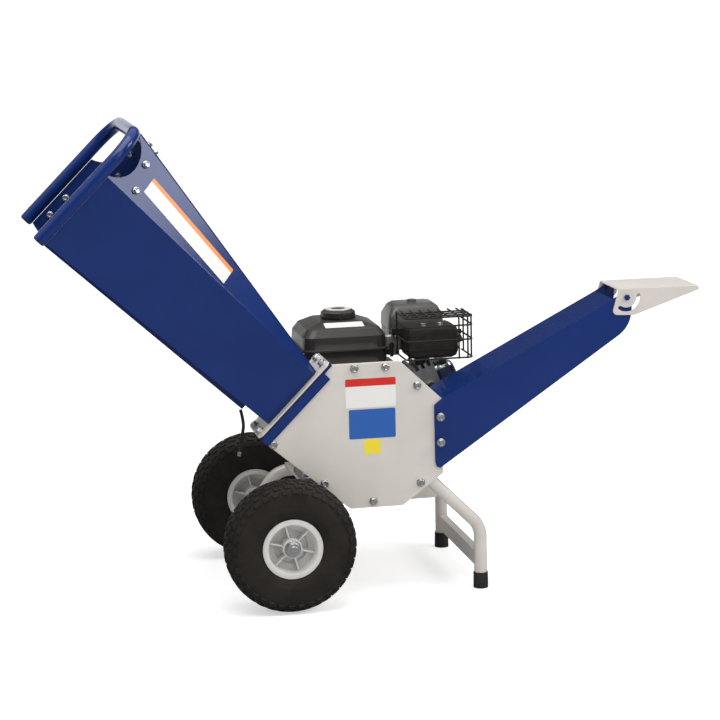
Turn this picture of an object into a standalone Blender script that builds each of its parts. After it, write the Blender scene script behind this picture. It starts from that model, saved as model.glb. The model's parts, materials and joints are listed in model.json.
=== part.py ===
"""Petrol garden shredder: wheeled tube frame, engine, drum housing, feed hopper and discharge chute.

Metres, +Z up. While modelling, X = 0 is the wheel axle, Y = 0 is midway between the two legs
and Z = 0 is the ground; the chute points to +X and the drum housing stands on the -Y side.
The last step moves everything so that the origin is under the middle of the whole machine.
"""
import math

import bmesh
import bpy
from mathutils import Matrix, Vector

# Driving dimensions
GAP = 0.0003
SHEET = 0.003
HOPPER_SHEET = 0.002

TUBE_RADIUS = 0.0127
TUBE_WALL = 0.002
TUBE_SIDES = 10
LEG_Y = 0.166
LEG_X = 0.396
LEG_SLOPE_RISE = 0.063
LEG_TOP_ROOM = 0.0028
RAIL_ABOVE_AXLE = 0.059
TUBE_BEND_RADIUS = 0.045

WHEEL_RADIUS = 0.130
TYRE_WIDTH = 0.082
WHEEL_CLEARANCE = 0.003
RIM_RADIUS = 0.0593
RIM_BARREL_RADIUS = 0.050
RIM_HALF_WIDTH = 0.035
RIM_LIP = 0.0033
HUB_RADIUS = 0.020
HUB_HALF_LENGTH = 0.030
WHEEL_SEGMENTS = 24
SPOKE_COUNT = 6
SPOKE_THICKNESS = 0.0035
AXLE_RADIUS = 0.008
AXLE_BEAM_RADIUS = 0.014

FOOT_WALL = 0.0018
FOOT_HEIGHT = 0.032
FOOT_SOLE = 0.006

CROSSBAR_BOTTOM = 0.042
CROSSBAR_HEIGHT = 0.030
CROSSBAR_DEPTH = 0.016
CROSSBAR_WALL = 0.002

PLATFORM_THICKNESS = 0.004
PLATFORM_LEFT = 0.060
PLATFORM_RIGHT = 0.332
PLATFORM_FLANGE = 0.040

SHAFT_X = 0.150
SHAFT_ABOVE_PLATFORM = 0.106
SHAFT_RADIUS = 0.0127
HOUSING_WIDTH = 0.113
DRUM_RADIUS = 0.088
DRUM_CLEARANCE = 0.008
BAND_FIRST_ANGLE = math.radians(205)
BAND_LAST_ANGLE = math.radians(285)
PLATE_MARGIN = 0.012
KNIFE_THICKNESS = 0.006
COUNTER_KNIFE_GAP = 0.0027
COUNTER_KNIFE_LENGTH = 0.030
COUNTER_KNIFE_THICKNESS = 0.0077
DRUM_NEAR_ROOM = 0.012
ROTOR_BOLT_RADIUS = 0.005

CASE_ROOM = 0.025
CASE_LENGTH = 0.132
CASE_HALF_WIDTH = 0.072
CASE_ABOVE_SHAFT = 0.084
CASE_WALL = 0.006
CYLINDER_TILT = math.radians(22)
BARREL_END = 0.176
HEAD_FIN = 0.050
HEAD_END = 0.221
ROCKER_END = 0.262
PORT_DISTANCE = 0.199
OIL_CAP_BELOW_SHAFT = 0.066
OIL_CAP_RADIUS = 0.009
FLYWHEEL_RADIUS = 0.070
FLYWHEEL_BORE = 0.009
SHROUD_RADIUS = 0.096
SHROUD_REACH = 0.165
SHROUD_OPENING = math.radians(52)
SHROUD_TAIL = 0.050
SHROUD_DEPTH = 0.068
RECOIL_RADIUS = 0.080
RECOIL_DEPTH = 0.040
REEL_RADIUS = 0.034
PLASTIC_WALL = 0.0025
TANK_WALL = 0.003
TANK_SEAM = 0.034
TANK_LIP = 0.005
TANK_NECK_RADIUS = 0.026
FUEL_CAP_RADIUS = 0.0365
FUEL_CAP_HEIGHT = 0.018
GUARD_WIRE = 0.0018
GUARD_SIDES = 4
GUARD_TOP_BARS = 5

FLANGE_HALF_LENGTH = 0.100
FLANGE_THICKNESS = 0.003
GASKET_THICKNESS = 0.002
STRIP_SHORTER = 0.022
FEED_ANGLE = math.radians(45)
THROAT_HALF_HEIGHT = 0.066
THROAT_HALF_WIDTH = 0.038
HOPPER_LENGTH = 0.575
MOUTH_HALF_WIDTH = 0.168
MOUTH_FLOOR = -0.093
MOUTH_FOLD = 0.074
MOUTH_TOP = 0.173
MOUTH_TOP_HALF_WIDTH = 0.105
SCALLOP_RADIUS = 0.062
HANDLE_BEND_RADIUS = 0.062
HANDLE_REACH = 0.166
HANDLE_WALL_ROOM = 0.0004
HANDLE_OFFSET = 0.001
SEAM_DEPTH = 0.012
CORD_RADIUS = 0.0032
CURTAIN_FROM_THROAT = 0.140
CURTAIN_THICKNESS = 0.003

CHUTE_ROOF_LENGTH = 0.350
CHUTE_FLOOR_LENGTH = 0.388
CHUTE_FLOOR_SLOPE = math.radians(33.3)
CHUTE_ROOF_SLOPE = math.radians(27.2)
CHUTE_NOSE_RADIUS = 0.060
PIVOT_FROM_NOSE = 0.011
PIVOT_ABOVE_ROOF = 0.0026
PIVOT_EAR_RADIUS = 0.012
DEFLECTOR_SHEET = 0.0025
DEFLECTOR_TOP = 0.017
DEFLECTOR_LENGTH = 0.148
SLOT_RADIUS = 0.0245
SLOT_HALF_WIDTH = 0.0040
SLOT_FIRST_ANGLE = math.radians(8)
SLOT_LAST_ANGLE = math.radians(-124)
STUD_ANGLE = math.radians(-95)
BOLT_RADIUS = 0.003

# Heights and Y planes worked out from the driving dimensions
AXLE_HEIGHT = WHEEL_RADIUS
RAIL_HEIGHT = AXLE_HEIGHT + RAIL_ABOVE_AXLE
LEG_BEND_HEIGHT = RAIL_HEIGHT - LEG_SLOPE_RISE
FOOT_RADIUS = TUBE_RADIUS + FOOT_WALL
PLATFORM_TOP = RAIL_HEIGHT + TUBE_RADIUS + GAP + PLATFORM_THICKNESS
SHAFT_Z = PLATFORM_TOP + SHAFT_ABOVE_PLATFORM
HOUSING_NEAR_Y = -(LEG_Y + TUBE_RADIUS + GAP + SHEET)
HOUSING_FAR_Y = HOUSING_NEAR_Y + HOUSING_WIDTH
HOUSING_MID_Y = HOUSING_NEAR_Y + HOUSING_WIDTH / 2
WHEEL_Y = WHEEL_CLEARANCE + TYRE_WIDTH / 2 - HOUSING_NEAR_Y
ENGINE_FACE_Y = HOUSING_FAR_Y + GAP
CASE_NEAR_Y = HOUSING_FAR_Y + CASE_ROOM
CASE_FAR_Y = CASE_NEAR_Y + CASE_LENGTH
CASE_TOP = SHAFT_Z + CASE_ABOVE_SHAFT
BARREL_NEAR_Y = CASE_NEAR_Y + 0.024
BARREL_FAR_Y = CASE_FAR_Y - 0.014
OIL_CAP_Y = CASE_FAR_Y - 0.038
OIL_CAP_Z = SHAFT_Z - OIL_CAP_BELOW_SHAFT
FLYWHEEL_Y = CASE_FAR_Y + 0.010
SHROUD_FAR_Y = CASE_FAR_Y + SHROUD_DEPTH

# Feed and chute, placed from the shaft
FEED_CENTRE = (SHAFT_X - 0.1215, SHAFT_Z + 0.089)
CHUTE_LEFT = SHAFT_X + 0.168
CHUTE_FLOOR_HEIGHT = SHAFT_Z - 0.050
CHUTE_ROOF_HEIGHT = SHAFT_Z + 0.0805
CHUTE_ROOF_END = CHUTE_LEFT + CHUTE_ROOF_LENGTH
CHUTE_NOSE = CHUTE_LEFT + CHUTE_FLOOR_LENGTH
PIVOT = (CHUTE_NOSE - PIVOT_FROM_NOSE,
         CHUTE_ROOF_HEIGHT + CHUTE_ROOF_LENGTH * math.tan(CHUTE_ROOF_SLOPE) + PIVOT_ABOVE_ROOF)


def at_engine(x0, x1, y0, y1, *heights):
    """Limits of a piece on the engine: X and Z measured from the shaft, Y from the case's near face."""
    return (SHAFT_X + x0, SHAFT_X + x1, CASE_NEAR_Y + y0, CASE_NEAR_Y + y1,
            *[SHAFT_Z + height for height in heights])


TANK = at_engine(-0.077, 0.099, 0.026, 0.194, 0.122, 0.208)
TANK_CAP = (SHAFT_X + 0.016, CASE_NEAR_Y + 0.132)
CARB = at_engine(0.106, 0.142, 0.092, 0.122, 0.140, 0.172)
AIR_CLEANER = at_engine(0.123, 0.236, 0.122 + GAP, 0.216, 0.138, 0.227, 0.178)
MUFFLER = at_engine(0.131, 0.237, -0.006, 0.074, 0.136, 0.202)
GUARD_ROWS = tuple(SHAFT_Z + height for height in (0.138, 0.175, 0.204, 0.222))
GUARD_LEFT = MUFFLER[0] - 0.006
GUARD_RIGHT = MUFFLER[1] + 0.025
GUARD_NEAR = MUFFLER[2] - 0.014

SILVER = ((0.58, 0.55, 0.51, 1), 0.38, 0.15)
BLUE = ((0.011, 0.032, 0.150, 1), 0.22, 0.0)
RUBBER = ((0.018, 0.017, 0.016, 1), 0.75, 0.0)
PLASTIC_GREY = ((0.38, 0.38, 0.37, 1), 0.45, 0.0)
PLASTIC_BLACK = ((0.025, 0.023, 0.021, 1), 0.42, 0.0)
ENGINE_BLACK = ((0.020, 0.019, 0.018, 1), 0.38, 0.3)
ZINC = ((0.68, 0.70, 0.71, 1), 0.28, 1.0)
CAST_ALUMINIUM = ((0.42, 0.42, 0.41, 1), 0.45, 0.9)
STEEL = ((0.35, 0.35, 0.36, 1), 0.35, 1.0)


def clear_scene():
    """Remove every object that the new file starts with."""
    for old in list(bpy.data.objects):
        bpy.data.objects.remove(old, do_unlink=True)


clear_scene()
ROOT = bpy.data.objects.new("machine", None)
bpy.context.collection.objects.link(ROOT)


def make_material(name, look):
    """Principled material with one colour, roughness and metallic value."""
    colour, roughness, metallic = look
    material = bpy.data.materials.new(name)
    material.use_nodes = True
    shader = material.node_tree.nodes["Principled BSDF"]
    shader.inputs["Base Color"].default_value = colour
    shader.inputs["Roughness"].default_value = roughness
    shader.inputs["Metallic"].default_value = metallic
    return material


def add_object(name, bm, look, origin=(0, 0, 0), smooth=32):
    """Turn a bmesh in machine coordinates into an object whose origin lies at the given point."""
    bmesh.ops.translate(bm, verts=bm.verts, vec=-Vector(origin))
    bmesh.ops.recalc_face_normals(bm, faces=bm.faces)
    mesh = bpy.data.meshes.new(name)
    bm.to_mesh(mesh)
    bm.free()
    mesh.shade_smooth()
    mesh.set_sharp_from_angle(angle=math.radians(smooth))
    piece = bpy.data.objects.new(name, mesh)
    piece.location = origin
    piece.parent = ROOT
    bpy.context.collection.objects.link(piece)
    if look is not None:
        mesh.materials.append(make_material(name, look))
    return piece


def shape_with(piece, bm, operation, label):
    """Cut a tool body out of a piece, or join it to the piece, with a Boolean modifier."""
    tool = add_object(f"{piece.name}_{label}", bm, None)
    tool.hide_render = True
    tool.display_type = 'WIRE'
    modifier = piece.modifiers.new(label, 'BOOLEAN')
    modifier.operation = operation
    modifier.object = tool
    modifier.solver = 'EXACT'
    return tool


def cut(piece, bm, label):
    """Cut the tool body out of the piece."""
    return shape_with(piece, bm, 'DIFFERENCE', label)


def join(piece, bm, label):
    """Join the tool body to the piece."""
    return shape_with(piece, bm, 'UNION', label)


def rounded(corners, steps=4):
    """Closed outline through corners (a, b, radius), each corner replaced by an arc of that radius."""
    outline = []
    count = len(corners)
    for index, (a, b, radius) in enumerate(corners):
        here = Vector((a, b))
        if radius <= 0:
            outline.append(here)
            continue
        back = (Vector(corners[index - 1][:2]) - here).normalized()
        ahead = (Vector(corners[(index + 1) % count][:2]) - here).normalized()
        half = back.angle(ahead) / 2
        reach = radius / math.tan(half)
        centre = here + (back + ahead).normalized() * (radius / math.sin(half))
        start = here + back * reach - centre
        finish = here + ahead * reach - centre
        sweep = start.angle_signed(finish)
        for step in range(steps + 1):
            turned = start.copy()
            turned.rotate(Matrix.Rotation(-sweep * step / steps, 2))
            outline.append(centre + turned)
    return [(point.x, point.y) for point in outline]


def lofted(loops, bm=None):
    """Closed body through a stack of closed loops of 3-D points, capped at both ends."""
    bm = bm or bmesh.new()
    rings = [[bm.verts.new(point) for point in loop] for loop in loops]
    fresh = [bm.faces.new(rings[0]), bm.faces.new(list(reversed(rings[-1])))]
    for first, second in zip(rings, rings[1:]):
        for index in range(len(first)):
            following = (index + 1) % len(first)
            corners = (first[index], second[index], second[following], first[following])
            fresh.append(bm.faces.new(corners))
    bmesh.ops.recalc_face_normals(bm, faces=fresh)
    return bm


def prism(outline, y0, y1, bm=None):
    """Body with an XZ outline, between two Y planes."""
    return lofted([[(x, y, z) for x, z in outline] for y in (y0, y1)], bm)


def level_loop(x0, x1, y0, y1, z, radius, steps=2):
    """Rounded rectangle at one height."""
    outline = rounded([(x0, y0, radius), (x0, y1, radius), (x1, y1, radius), (x1, y0, radius)], steps)
    return [(x, y, z) for x, y in outline]


def block(low, high, bevel=0.0, segments=2, bm=None):
    """Box between two corners, with optional rounded edges."""
    bm = bm or bmesh.new()
    fresh = bmesh.ops.create_cube(bm, size=1)["verts"]
    size = Vector(high) - Vector(low)
    middle = (Vector(high) + Vector(low)) / 2
    bmesh.ops.scale(bm, vec=size, verts=fresh)
    bmesh.ops.translate(bm, vec=middle, verts=fresh)
    if bevel > 0:
        edges = list({edge for vert in fresh for edge in vert.link_edges})
        bmesh.ops.bevel(bm, geom=edges, offset=bevel, segments=segments, profile=0.5, affect='EDGES')
    return bm


def turned(profile, segments, centre=(0, 0, 0), direction=(0, 1, 0), phase=0.0, bm=None):
    """Body of revolution: closed profile of (radius, distance along the axis) from a centre."""
    bm = bm or bmesh.new()
    axis = Vector(direction).normalized()
    place = Matrix.Translation(centre) @ Vector((0, 0, 1)).rotation_difference(axis).to_matrix().to_4x4()
    rings = []
    for radius, along in profile:
        if radius < 1e-7:
            rings.append([bm.verts.new(place @ Vector((0, 0, along)))])
            continue
        ring = []
        for step in range(segments):
            angle = phase + 2 * math.pi * step / segments
            spot = Vector((radius * math.cos(angle), radius * math.sin(angle), along))
            ring.append(bm.verts.new(place @ spot))
        rings.append(ring)
    touches_axis = any(len(ring) == 1 for ring in rings)
    pairs = list(zip(rings, rings[1:]))
    if not touches_axis:
        pairs.append((rings[-1], rings[0]))
    for first, second in pairs:
        for step in range(segments):
            following = (step + 1) % segments
            corners = [first[step % len(first)], first[following % len(first)],
                       second[following % len(second)], second[step % len(second)]]
            distinct = list(dict.fromkeys(corners))
            if len(distinct) > 2:
                bm.faces.new(distinct)
    bmesh.ops.recalc_face_normals(bm, faces=bm.faces)
    return bm


def rod(start, finish, radius, segments=12, phase=0.0, bm=None):
    """Plain round or many-sided bar between two points."""
    start = Vector(start)
    axis = Vector(finish) - start
    profile = [(0, 0), (radius, 0), (radius, axis.length), (0, axis.length)]
    return turned(profile, segments, start, axis, phase, bm)


def bent_path(corners, radius, steps=3):
    """Centre line through 3-D corners with every inner corner replaced by an arc."""
    path = [Vector(corners[0])]
    for before, here, after in zip(corners, corners[1:], corners[2:]):
        here = Vector(here)
        back = (Vector(before) - here).normalized()
        ahead = (Vector(after) - here).normalized()
        half = back.angle(ahead) / 2
        reach = radius / math.tan(half)
        centre = here + (back + ahead).normalized() * (radius / math.sin(half))
        start = here + back * reach - centre
        turn = start.rotation_difference(here + ahead * reach - centre)
        for step in range(steps + 1):
            partial = turn.copy()
            partial.angle = turn.angle * step / steps if turn.angle > 0 else 0
            path.append(centre + partial @ start)
    path.append(Vector(corners[-1]))
    return path


def swept(path, radius, wall=0.0, sides=TUBE_SIDES, bm=None):
    """Round bar or open-ended tube along a path."""
    bm = bm or bmesh.new()
    tangents = []
    for index in range(len(path)):
        before = path[max(index - 1, 0)]
        after = path[min(index + 1, len(path) - 1)]
        tangents.append((after - before).normalized())
    side = tangents[0].orthogonal().normalized()
    frames = []
    for index, tangent in enumerate(tangents):
        if index:
            side = tangents[index - 1].rotation_difference(tangent) @ side
        frames.append((side, tangent.cross(side)))
    shells = []
    for shell_radius in ([radius, radius - wall] if wall else [radius]):
        rings = []
        for point, (u, v) in zip(path, frames):
            ring = []
            for step in range(sides):
                angle = 2 * math.pi * step / sides
                ring.append(bm.verts.new(point + shell_radius * (u * math.cos(angle) + v * math.sin(angle))))
            rings.append(ring)
        for first, second in zip(rings, rings[1:]):
            for step in range(sides):
                following = (step + 1) % sides
                bm.faces.new((first[step], first[following], second[following], second[step]))
        shells.append(rings)
    if wall:
        for end in (0, -1):
            outer, inner = shells[0][end], shells[1][end]
            for step in range(sides):
                following = (step + 1) % sides
                bm.faces.new((outer[step], outer[following], inner[following], inner[step]))
    else:
        bm.faces.new(shells[0][0])
        bm.faces.new(shells[0][-1])
    bmesh.ops.recalc_face_normals(bm, faces=bm.faces)
    return bm


def bolt_profile(head, head_height, shank, length, nut=0.0, nut_height=0.0):
    """Half outline of a bolt from its head (at 0) along its shank, with an optional nut at the end."""
    profile = [(0, 0), (head, 0), (head, head_height), (shank, head_height)]
    if nut:
        profile += [(shank, length - nut_height), (nut, length - nut_height), (nut, length)]
    else:
        profile += [(shank, length)]
    return profile + [(0, length)]


def feed_point(along, y, across):
    """Machine point from hopper coordinates: along the feed, sideways, and across the feed."""
    cos, sin = math.cos(FEED_ANGLE), math.sin(FEED_ANGLE)
    return Vector((FEED_CENTRE[0] + along * cos + across * sin, y, FEED_CENTRE[1] - along * sin + across * cos))


def to_feed(bm):
    """Move a body modelled as (along, y, across) into the tilted feed direction."""
    for vert in bm.verts:
        vert.co = feed_point(vert.co.x, vert.co.y, vert.co.z)
    bmesh.ops.recalc_face_normals(bm, faces=bm.faces)
    return bm


# Wheels and axle
def tyre_profile():
    """Section of the tyre: bead on the rim barrel, bulging wall, flat-shouldered tread."""
    bead = RIM_BARREL_RADIUS + GAP
    lip = RIM_HALF_WIDTH - RIM_LIP - GAP
    half = TYRE_WIDTH / 2
    side = [(bead, lip), (RIM_RADIUS + GAP * 2, lip), (RIM_RADIUS + 0.003, half * 0.88),
            (0.62 * WHEEL_RADIUS + 0.38 * RIM_RADIUS, half), (WHEEL_RADIUS * 0.91, half * 0.96),
            (WHEEL_RADIUS * 0.975, half * 0.68)]
    return side + [(WHEEL_RADIUS, 0)] + [(radius, -along) for radius, along in reversed(side)]


def rim_profile():
    """Section of the moulded rim: bored hub, dished web, barrel and two lips."""
    lip_inner = RIM_HALF_WIDTH - RIM_LIP
    inner = RIM_BARREL_RADIUS - 0.0035
    half = [(AXLE_RADIUS + GAP, HUB_HALF_LENGTH), (HUB_RADIUS, HUB_HALF_LENGTH), (HUB_RADIUS, 0.004),
            (inner - 0.002, 0.004), (inner, RIM_HALF_WIDTH - 0.006), (inner + 0.002, RIM_HALF_WIDTH),
            (RIM_RADIUS, RIM_HALF_WIDTH), (RIM_RADIUS, lip_inner), (RIM_BARREL_RADIUS, lip_inner)]
    return half + [(radius, -along) for radius, along in reversed(half)]


def spokes(centre):
    """Six stiffening ribs that stand out on both faces of the web."""
    bm = bmesh.new()
    inner, outer = HUB_RADIUS - 0.002, RIM_BARREL_RADIUS - 0.0025
    half = SPOKE_THICKNESS / 2
    for index in range(SPOKE_COUNT):
        angle = 2 * math.pi * index / SPOKE_COUNT + math.radians(15)
        place = Matrix.Translation(centre) @ Matrix.Rotation(angle, 4, 'Y')
        outline = [(inner, -0.020), (outer, -0.024), (outer, 0.024), (inner, 0.020)]
        lofted([[place @ Vector((radius, along, z)) for radius, along in outline] for z in (-half, half)], bm)
    return bm


def build_wheel(side, label):
    """Tyre on its moulded rim."""
    centre = (0, side * WHEEL_Y, AXLE_HEIGHT)
    add_object(f"tyre_{label}", turned(tyre_profile(), WHEEL_SEGMENTS, centre), RUBBER, centre, 40)
    rim = add_object(f"rim_{label}", turned(rim_profile(), WHEEL_SEGMENTS, centre), PLASTIC_GREY, centre)
    join(rim, spokes(centre), "spokes")


def build_axle():
    """Solid axle with its two nuts, inside a tubular beam."""
    end = WHEEL_Y + HUB_HALF_LENGTH + 0.016
    axle = add_object("axle", rod((0, -end, AXLE_HEIGHT), (0, end, AXLE_HEIGHT), AXLE_RADIUS, 14), ZINC)
    face = WHEEL_Y + HUB_HALF_LENGTH + GAP
    washer, across = 0.0025, 0.0135
    top = washer + 0.010
    profile = [(0, 0), (0.017, 0), (0.017, washer), (across, washer), (across, top), (0, top)]
    for side, label in ((-1, "near"), (1, "far")):
        join(axle, turned(profile, 12, (0, side * face, AXLE_HEIGHT), (0, side, 0)), f"nut_{label}")
    half = WHEEL_Y - HUB_HALF_LENGTH - GAP
    bore = AXLE_RADIUS + GAP
    profile = [(bore, -half), (AXLE_BEAM_RADIUS, -half), (AXLE_BEAM_RADIUS, half), (bore, half)]
    add_object("axle_beam", turned(profile, 16, (0, 0, AXLE_HEIGHT)), SILVER)


# Frame
def leg_corners(y):
    """Centre line of a leg: foot, bend, and the start of the 45 degree slope."""
    rise = RAIL_HEIGHT - LEG_BEND_HEIGHT
    return [(LEG_X, y, FOOT_SOLE + GAP), (LEG_X, y, LEG_BEND_HEIGHT), (LEG_X - rise, y, RAIL_HEIGHT)]


def axle_notch(y, bm=None):
    """Round cutter that lets a tube end sit against the axle beam."""
    half = TUBE_RADIUS * 2
    start, finish = (0, y - half, AXLE_HEIGHT), (0, y + half, AXLE_HEIGHT)
    return rod(start, finish, AXLE_BEAM_RADIUS + GAP, 20, bm=bm)


def build_far_tube():
    """One bent tube: far leg, engine rail, and down to the axle beam."""
    drop = RAIL_HEIGHT - AXLE_HEIGHT
    corners = leg_corners(LEG_Y) + [(drop * 0.75, LEG_Y, RAIL_HEIGHT), (0, LEG_Y, AXLE_HEIGHT)]
    path = bent_path(corners, TUBE_BEND_RADIUS)
    tube = add_object("frame_tube_far", swept(path, TUBE_RADIUS, TUBE_WALL), SILVER)
    cut(tube, axle_notch(LEG_Y), "notch")


def near_leg_run():
    """Reach of the near leg's 45 degree slope, whose upper corner stops just under the housing wall."""
    outer = DRUM_RADIUS + DRUM_CLEARANCE + SHEET
    x1, z1 = SHAFT_X + outer * math.cos(BAND_LAST_ANGLE), SHAFT_Z + outer * math.sin(BAND_LAST_ANGLE)
    x2, z2 = band_outlet()
    z2 -= SHEET * 1.05
    slope = (z2 - z1) / (x2 - x1)
    corner = TUBE_RADIUS / math.sqrt(2)
    rise = z2 + slope * (LEG_X + corner - x2) - corner - LEG_TOP_ROOM - LEG_BEND_HEIGHT
    return rise / (1 + slope)


def build_near_tubes():
    """Near leg that runs up behind the side plate, and the strut from the plate to the axle beam."""
    y = -LEG_Y
    run = near_leg_run()
    corners = leg_corners(y)[:2] + [(LEG_X - run, y, LEG_BEND_HEIGHT + run)]
    add_object("leg_tube_near", swept(bent_path(corners, TUBE_BEND_RADIUS), TUBE_RADIUS, TUBE_WALL), SILVER)
    wall = DRUM_RADIUS + DRUM_CLEARANCE + SHEET + GAP
    reach = Vector((SHAFT_X, 0, SHAFT_Z - AXLE_HEIGHT))
    top = Vector((0, y, AXLE_HEIGHT)) + reach.normalized() * (reach.length - wall + TUBE_RADIUS)
    path = [Vector((0, y, AXLE_HEIGHT)), top]
    strut = add_object("wheel_strut_near", swept(path, TUBE_RADIUS, TUBE_WALL), SILVER)
    cut(strut, axle_notch(y), "notch")
    half = TUBE_RADIUS * 2
    cut(strut, rod((SHAFT_X, y - half, SHAFT_Z), (SHAFT_X, y + half, SHAFT_Z), wall, 64), "saddle")


def build_feet():
    """Rubber cups on the two legs, with flat soles."""
    bore = TUBE_RADIUS + GAP
    profile = [(0, 0), (FOOT_RADIUS * 1.03, 0), (FOOT_RADIUS, FOOT_HEIGHT), (bore, FOOT_HEIGHT),
               (bore, FOOT_SOLE), (0, FOOT_SOLE)]
    for side, label in ((-1, "near"), (1, "far")):
        spot = (LEG_X, side * LEG_Y, 0)
        add_object(f"foot_{label}", turned(profile, 20, spot, (0, 0, 1)), RUBBER, spot)


def build_crossbar():
    """Rectangular tube between the legs, its ends hollowed to the legs' round."""
    x0, x1 = LEG_X - CROSSBAR_DEPTH / 2, LEG_X + CROSSBAR_DEPTH / 2
    z0, z1 = CROSSBAR_BOTTOM, CROSSBAR_BOTTOM + CROSSBAR_HEIGHT
    wall = CROSSBAR_WALL
    bar = add_object("leg_crossbar", block((x0, -LEG_Y, z0), (x1, LEG_Y, z1)), SILVER)
    cut(bar, block((x0 + wall, -LEG_Y - wall, z0 + wall), (x1 - wall, LEG_Y + wall, z1 - wall)), "bore")
    for side, label in ((-1, "near"), (1, "far")):
        low, high = (LEG_X, side * LEG_Y, z0 - wall), (LEG_X, side * LEG_Y, z1 + wall)
        cut(bar, rod(low, high, TUBE_RADIUS + GAP, 20), f"saddle_{label}")


def build_platform():
    """Folded plate under the engine, resting on the far rail and bolted to the housing."""
    near = HOUSING_FAR_Y + GAP
    inner = near + PLATFORM_THICKNESS
    top, under = PLATFORM_TOP, PLATFORM_TOP - PLATFORM_THICKNESS
    outline = [(near, top), (near, top - PLATFORM_FLANGE), (inner, top - PLATFORM_FLANGE), (inner, under),
               (LEG_Y, under), (LEG_Y, top)]
    bm = lofted([[(x, y, z) for y, z in outline] for x in (PLATFORM_LEFT, PLATFORM_RIGHT)])
    add_object("engine_platform", bm, SILVER)


# Drum housing
def plate_outline(lowered=0.0):
    """Seven-sided side plate: inlet edge, top, chute edge and three lower edges."""
    low = feed_point(0.0, 0, -FLANGE_HALF_LENGTH)
    high = feed_point(0.0, 0, FLANGE_HALF_LENGTH)
    bottom = PLATFORM_TOP - 0.023
    shoulder, drop = CHUTE_LEFT - 0.083, 0.080
    top = high.z - lowered
    dx, dz = SHAFT_X - low.x, SHAFT_Z - low.z
    margin = DRUM_RADIUS + DRUM_CLEARANCE + SHEET + PLATE_MARGIN
    edge = math.atan2(dz, dx) - math.asin(margin / math.hypot(dx, dz))
    heel = low.x + (bottom - low.z) / math.tan(edge)
    return rounded([(low.x, low.z, 0.004), (high.x - lowered, top, 0.003),
                    (shoulder + lowered * 0.083 / drop, top, 0.004),
                    (CHUTE_LEFT, high.z - drop, 0.004), (CHUTE_LEFT, bottom + 0.060, 0.004),
                    (SHAFT_X + 0.086, bottom, 0.006), (heel, bottom, 0.006)], 2)


def arc(centre, radius, first, last, steps):
    """Points of an arc in the XZ plane."""
    points = []
    for step in range(steps + 1):
        angle = first + (last - first) * step / steps
        points.append((centre[0] + radius * math.cos(angle), centre[1] + radius * math.sin(angle)))
    return points


def band_outlet():
    """Upper edge of the lower wall where the chute's floor takes over."""
    return (CHUTE_LEFT - GAP, CHUTE_FLOOR_HEIGHT - 0.002)


def lower_band_outline():
    """Curved wall under the drum, from the throat floor round to the chute floor."""
    shaft = (SHAFT_X, SHAFT_Z)
    inner = DRUM_RADIUS + DRUM_CLEARANCE
    throat = feed_point(GAP, 0, -THROAT_HALF_HEIGHT)
    outlet = band_outlet()
    first, last = BAND_FIRST_ANGLE, BAND_LAST_ANGLE
    inside = [(throat.x, throat.z)] + arc(shaft, inner, first, last, 8) + [outlet]
    outside = [(outlet[0], outlet[1] - SHEET * 1.05)] + arc(shaft, inner + SHEET, last, first, 8)
    return inside + outside + [(throat.x - SHEET * 0.71, throat.z - SHEET * 0.71)]


def upper_band_outline():
    """Wall over the drum, from the throat roof to the chute roof."""
    throat = feed_point(GAP, 0, THROAT_HALF_HEIGHT)
    top = throat.z
    outlet = (CHUTE_LEFT - GAP, CHUTE_ROOF_HEIGHT - 0.006)
    inside = [(throat.x, throat.z), (SHAFT_X + 0.078, top), outlet]
    outside = [(outlet[0], outlet[1] + SHEET * 1.3), (SHAFT_X + 0.079, top + SHEET),
               (throat.x + SHEET, top + SHEET)]
    return list(reversed(inside + outside))


def build_housing():
    """Two side plates with the curved walls between them; the plate at the engine is lower."""
    near, far = HOUSING_NEAR_Y, HOUSING_FAR_Y
    add_object("side_plate_near", prism(plate_outline(), near, near + SHEET), SILVER)
    band_top = feed_point(GAP, 0, THROAT_HALF_HEIGHT).z + SHEET
    lowered = feed_point(0, 0, FLANGE_HALF_LENGTH).z - band_top - 0.002
    far_plate = add_object("side_plate_far", prism(plate_outline(lowered), far - SHEET, far), SILVER)
    hole = rod((SHAFT_X, far - 2 * SHEET, SHAFT_Z), (SHAFT_X, far + SHEET, SHAFT_Z), SHAFT_RADIUS + 0.004, 20)
    cut(far_plate, hole, "shaft_hole")
    y0, y1 = near + SHEET + GAP, far - SHEET - GAP
    add_object("housing_band_lower", prism(lower_band_outline(), y0, y1), SILVER)
    add_object("housing_band_upper", prism(upper_band_outline(), y0, y1), SILVER)


def build_inlet():
    """Blue inlet frame: flange square to the feed, with two lugs over the side plates."""
    y0, y1 = HOUSING_NEAR_Y - SHEET - GAP, HOUSING_FAR_Y + SHEET + GAP
    half = FLANGE_HALF_LENGTH
    lug = 0.016
    bm = block((-FLANGE_THICKNESS, y0, -half), (lug, y1, half))
    frame = add_object("inlet_frame", to_feed(bm), BLUE)
    opening = block((-0.01, HOUSING_MID_Y - THROAT_HALF_WIDTH, -THROAT_HALF_HEIGHT),
                    (lug + 0.01, HOUSING_MID_Y + THROAT_HALF_WIDTH, THROAT_HALF_HEIGHT))
    cut(frame, to_feed(opening), "throat")
    seat = block((-GAP, HOUSING_NEAR_Y - GAP, -half - 0.01), (lug + 0.01, HOUSING_FAR_Y + GAP, half + 0.01))
    cut(frame, to_feed(seat), "seat")
    short = block((GAP, y0 - 0.01, half - STRIP_SHORTER), (lug + 0.01, y1 + 0.01, half + 0.01))
    cut(frame, to_feed(short), "strip_end")
    return frame


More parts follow.
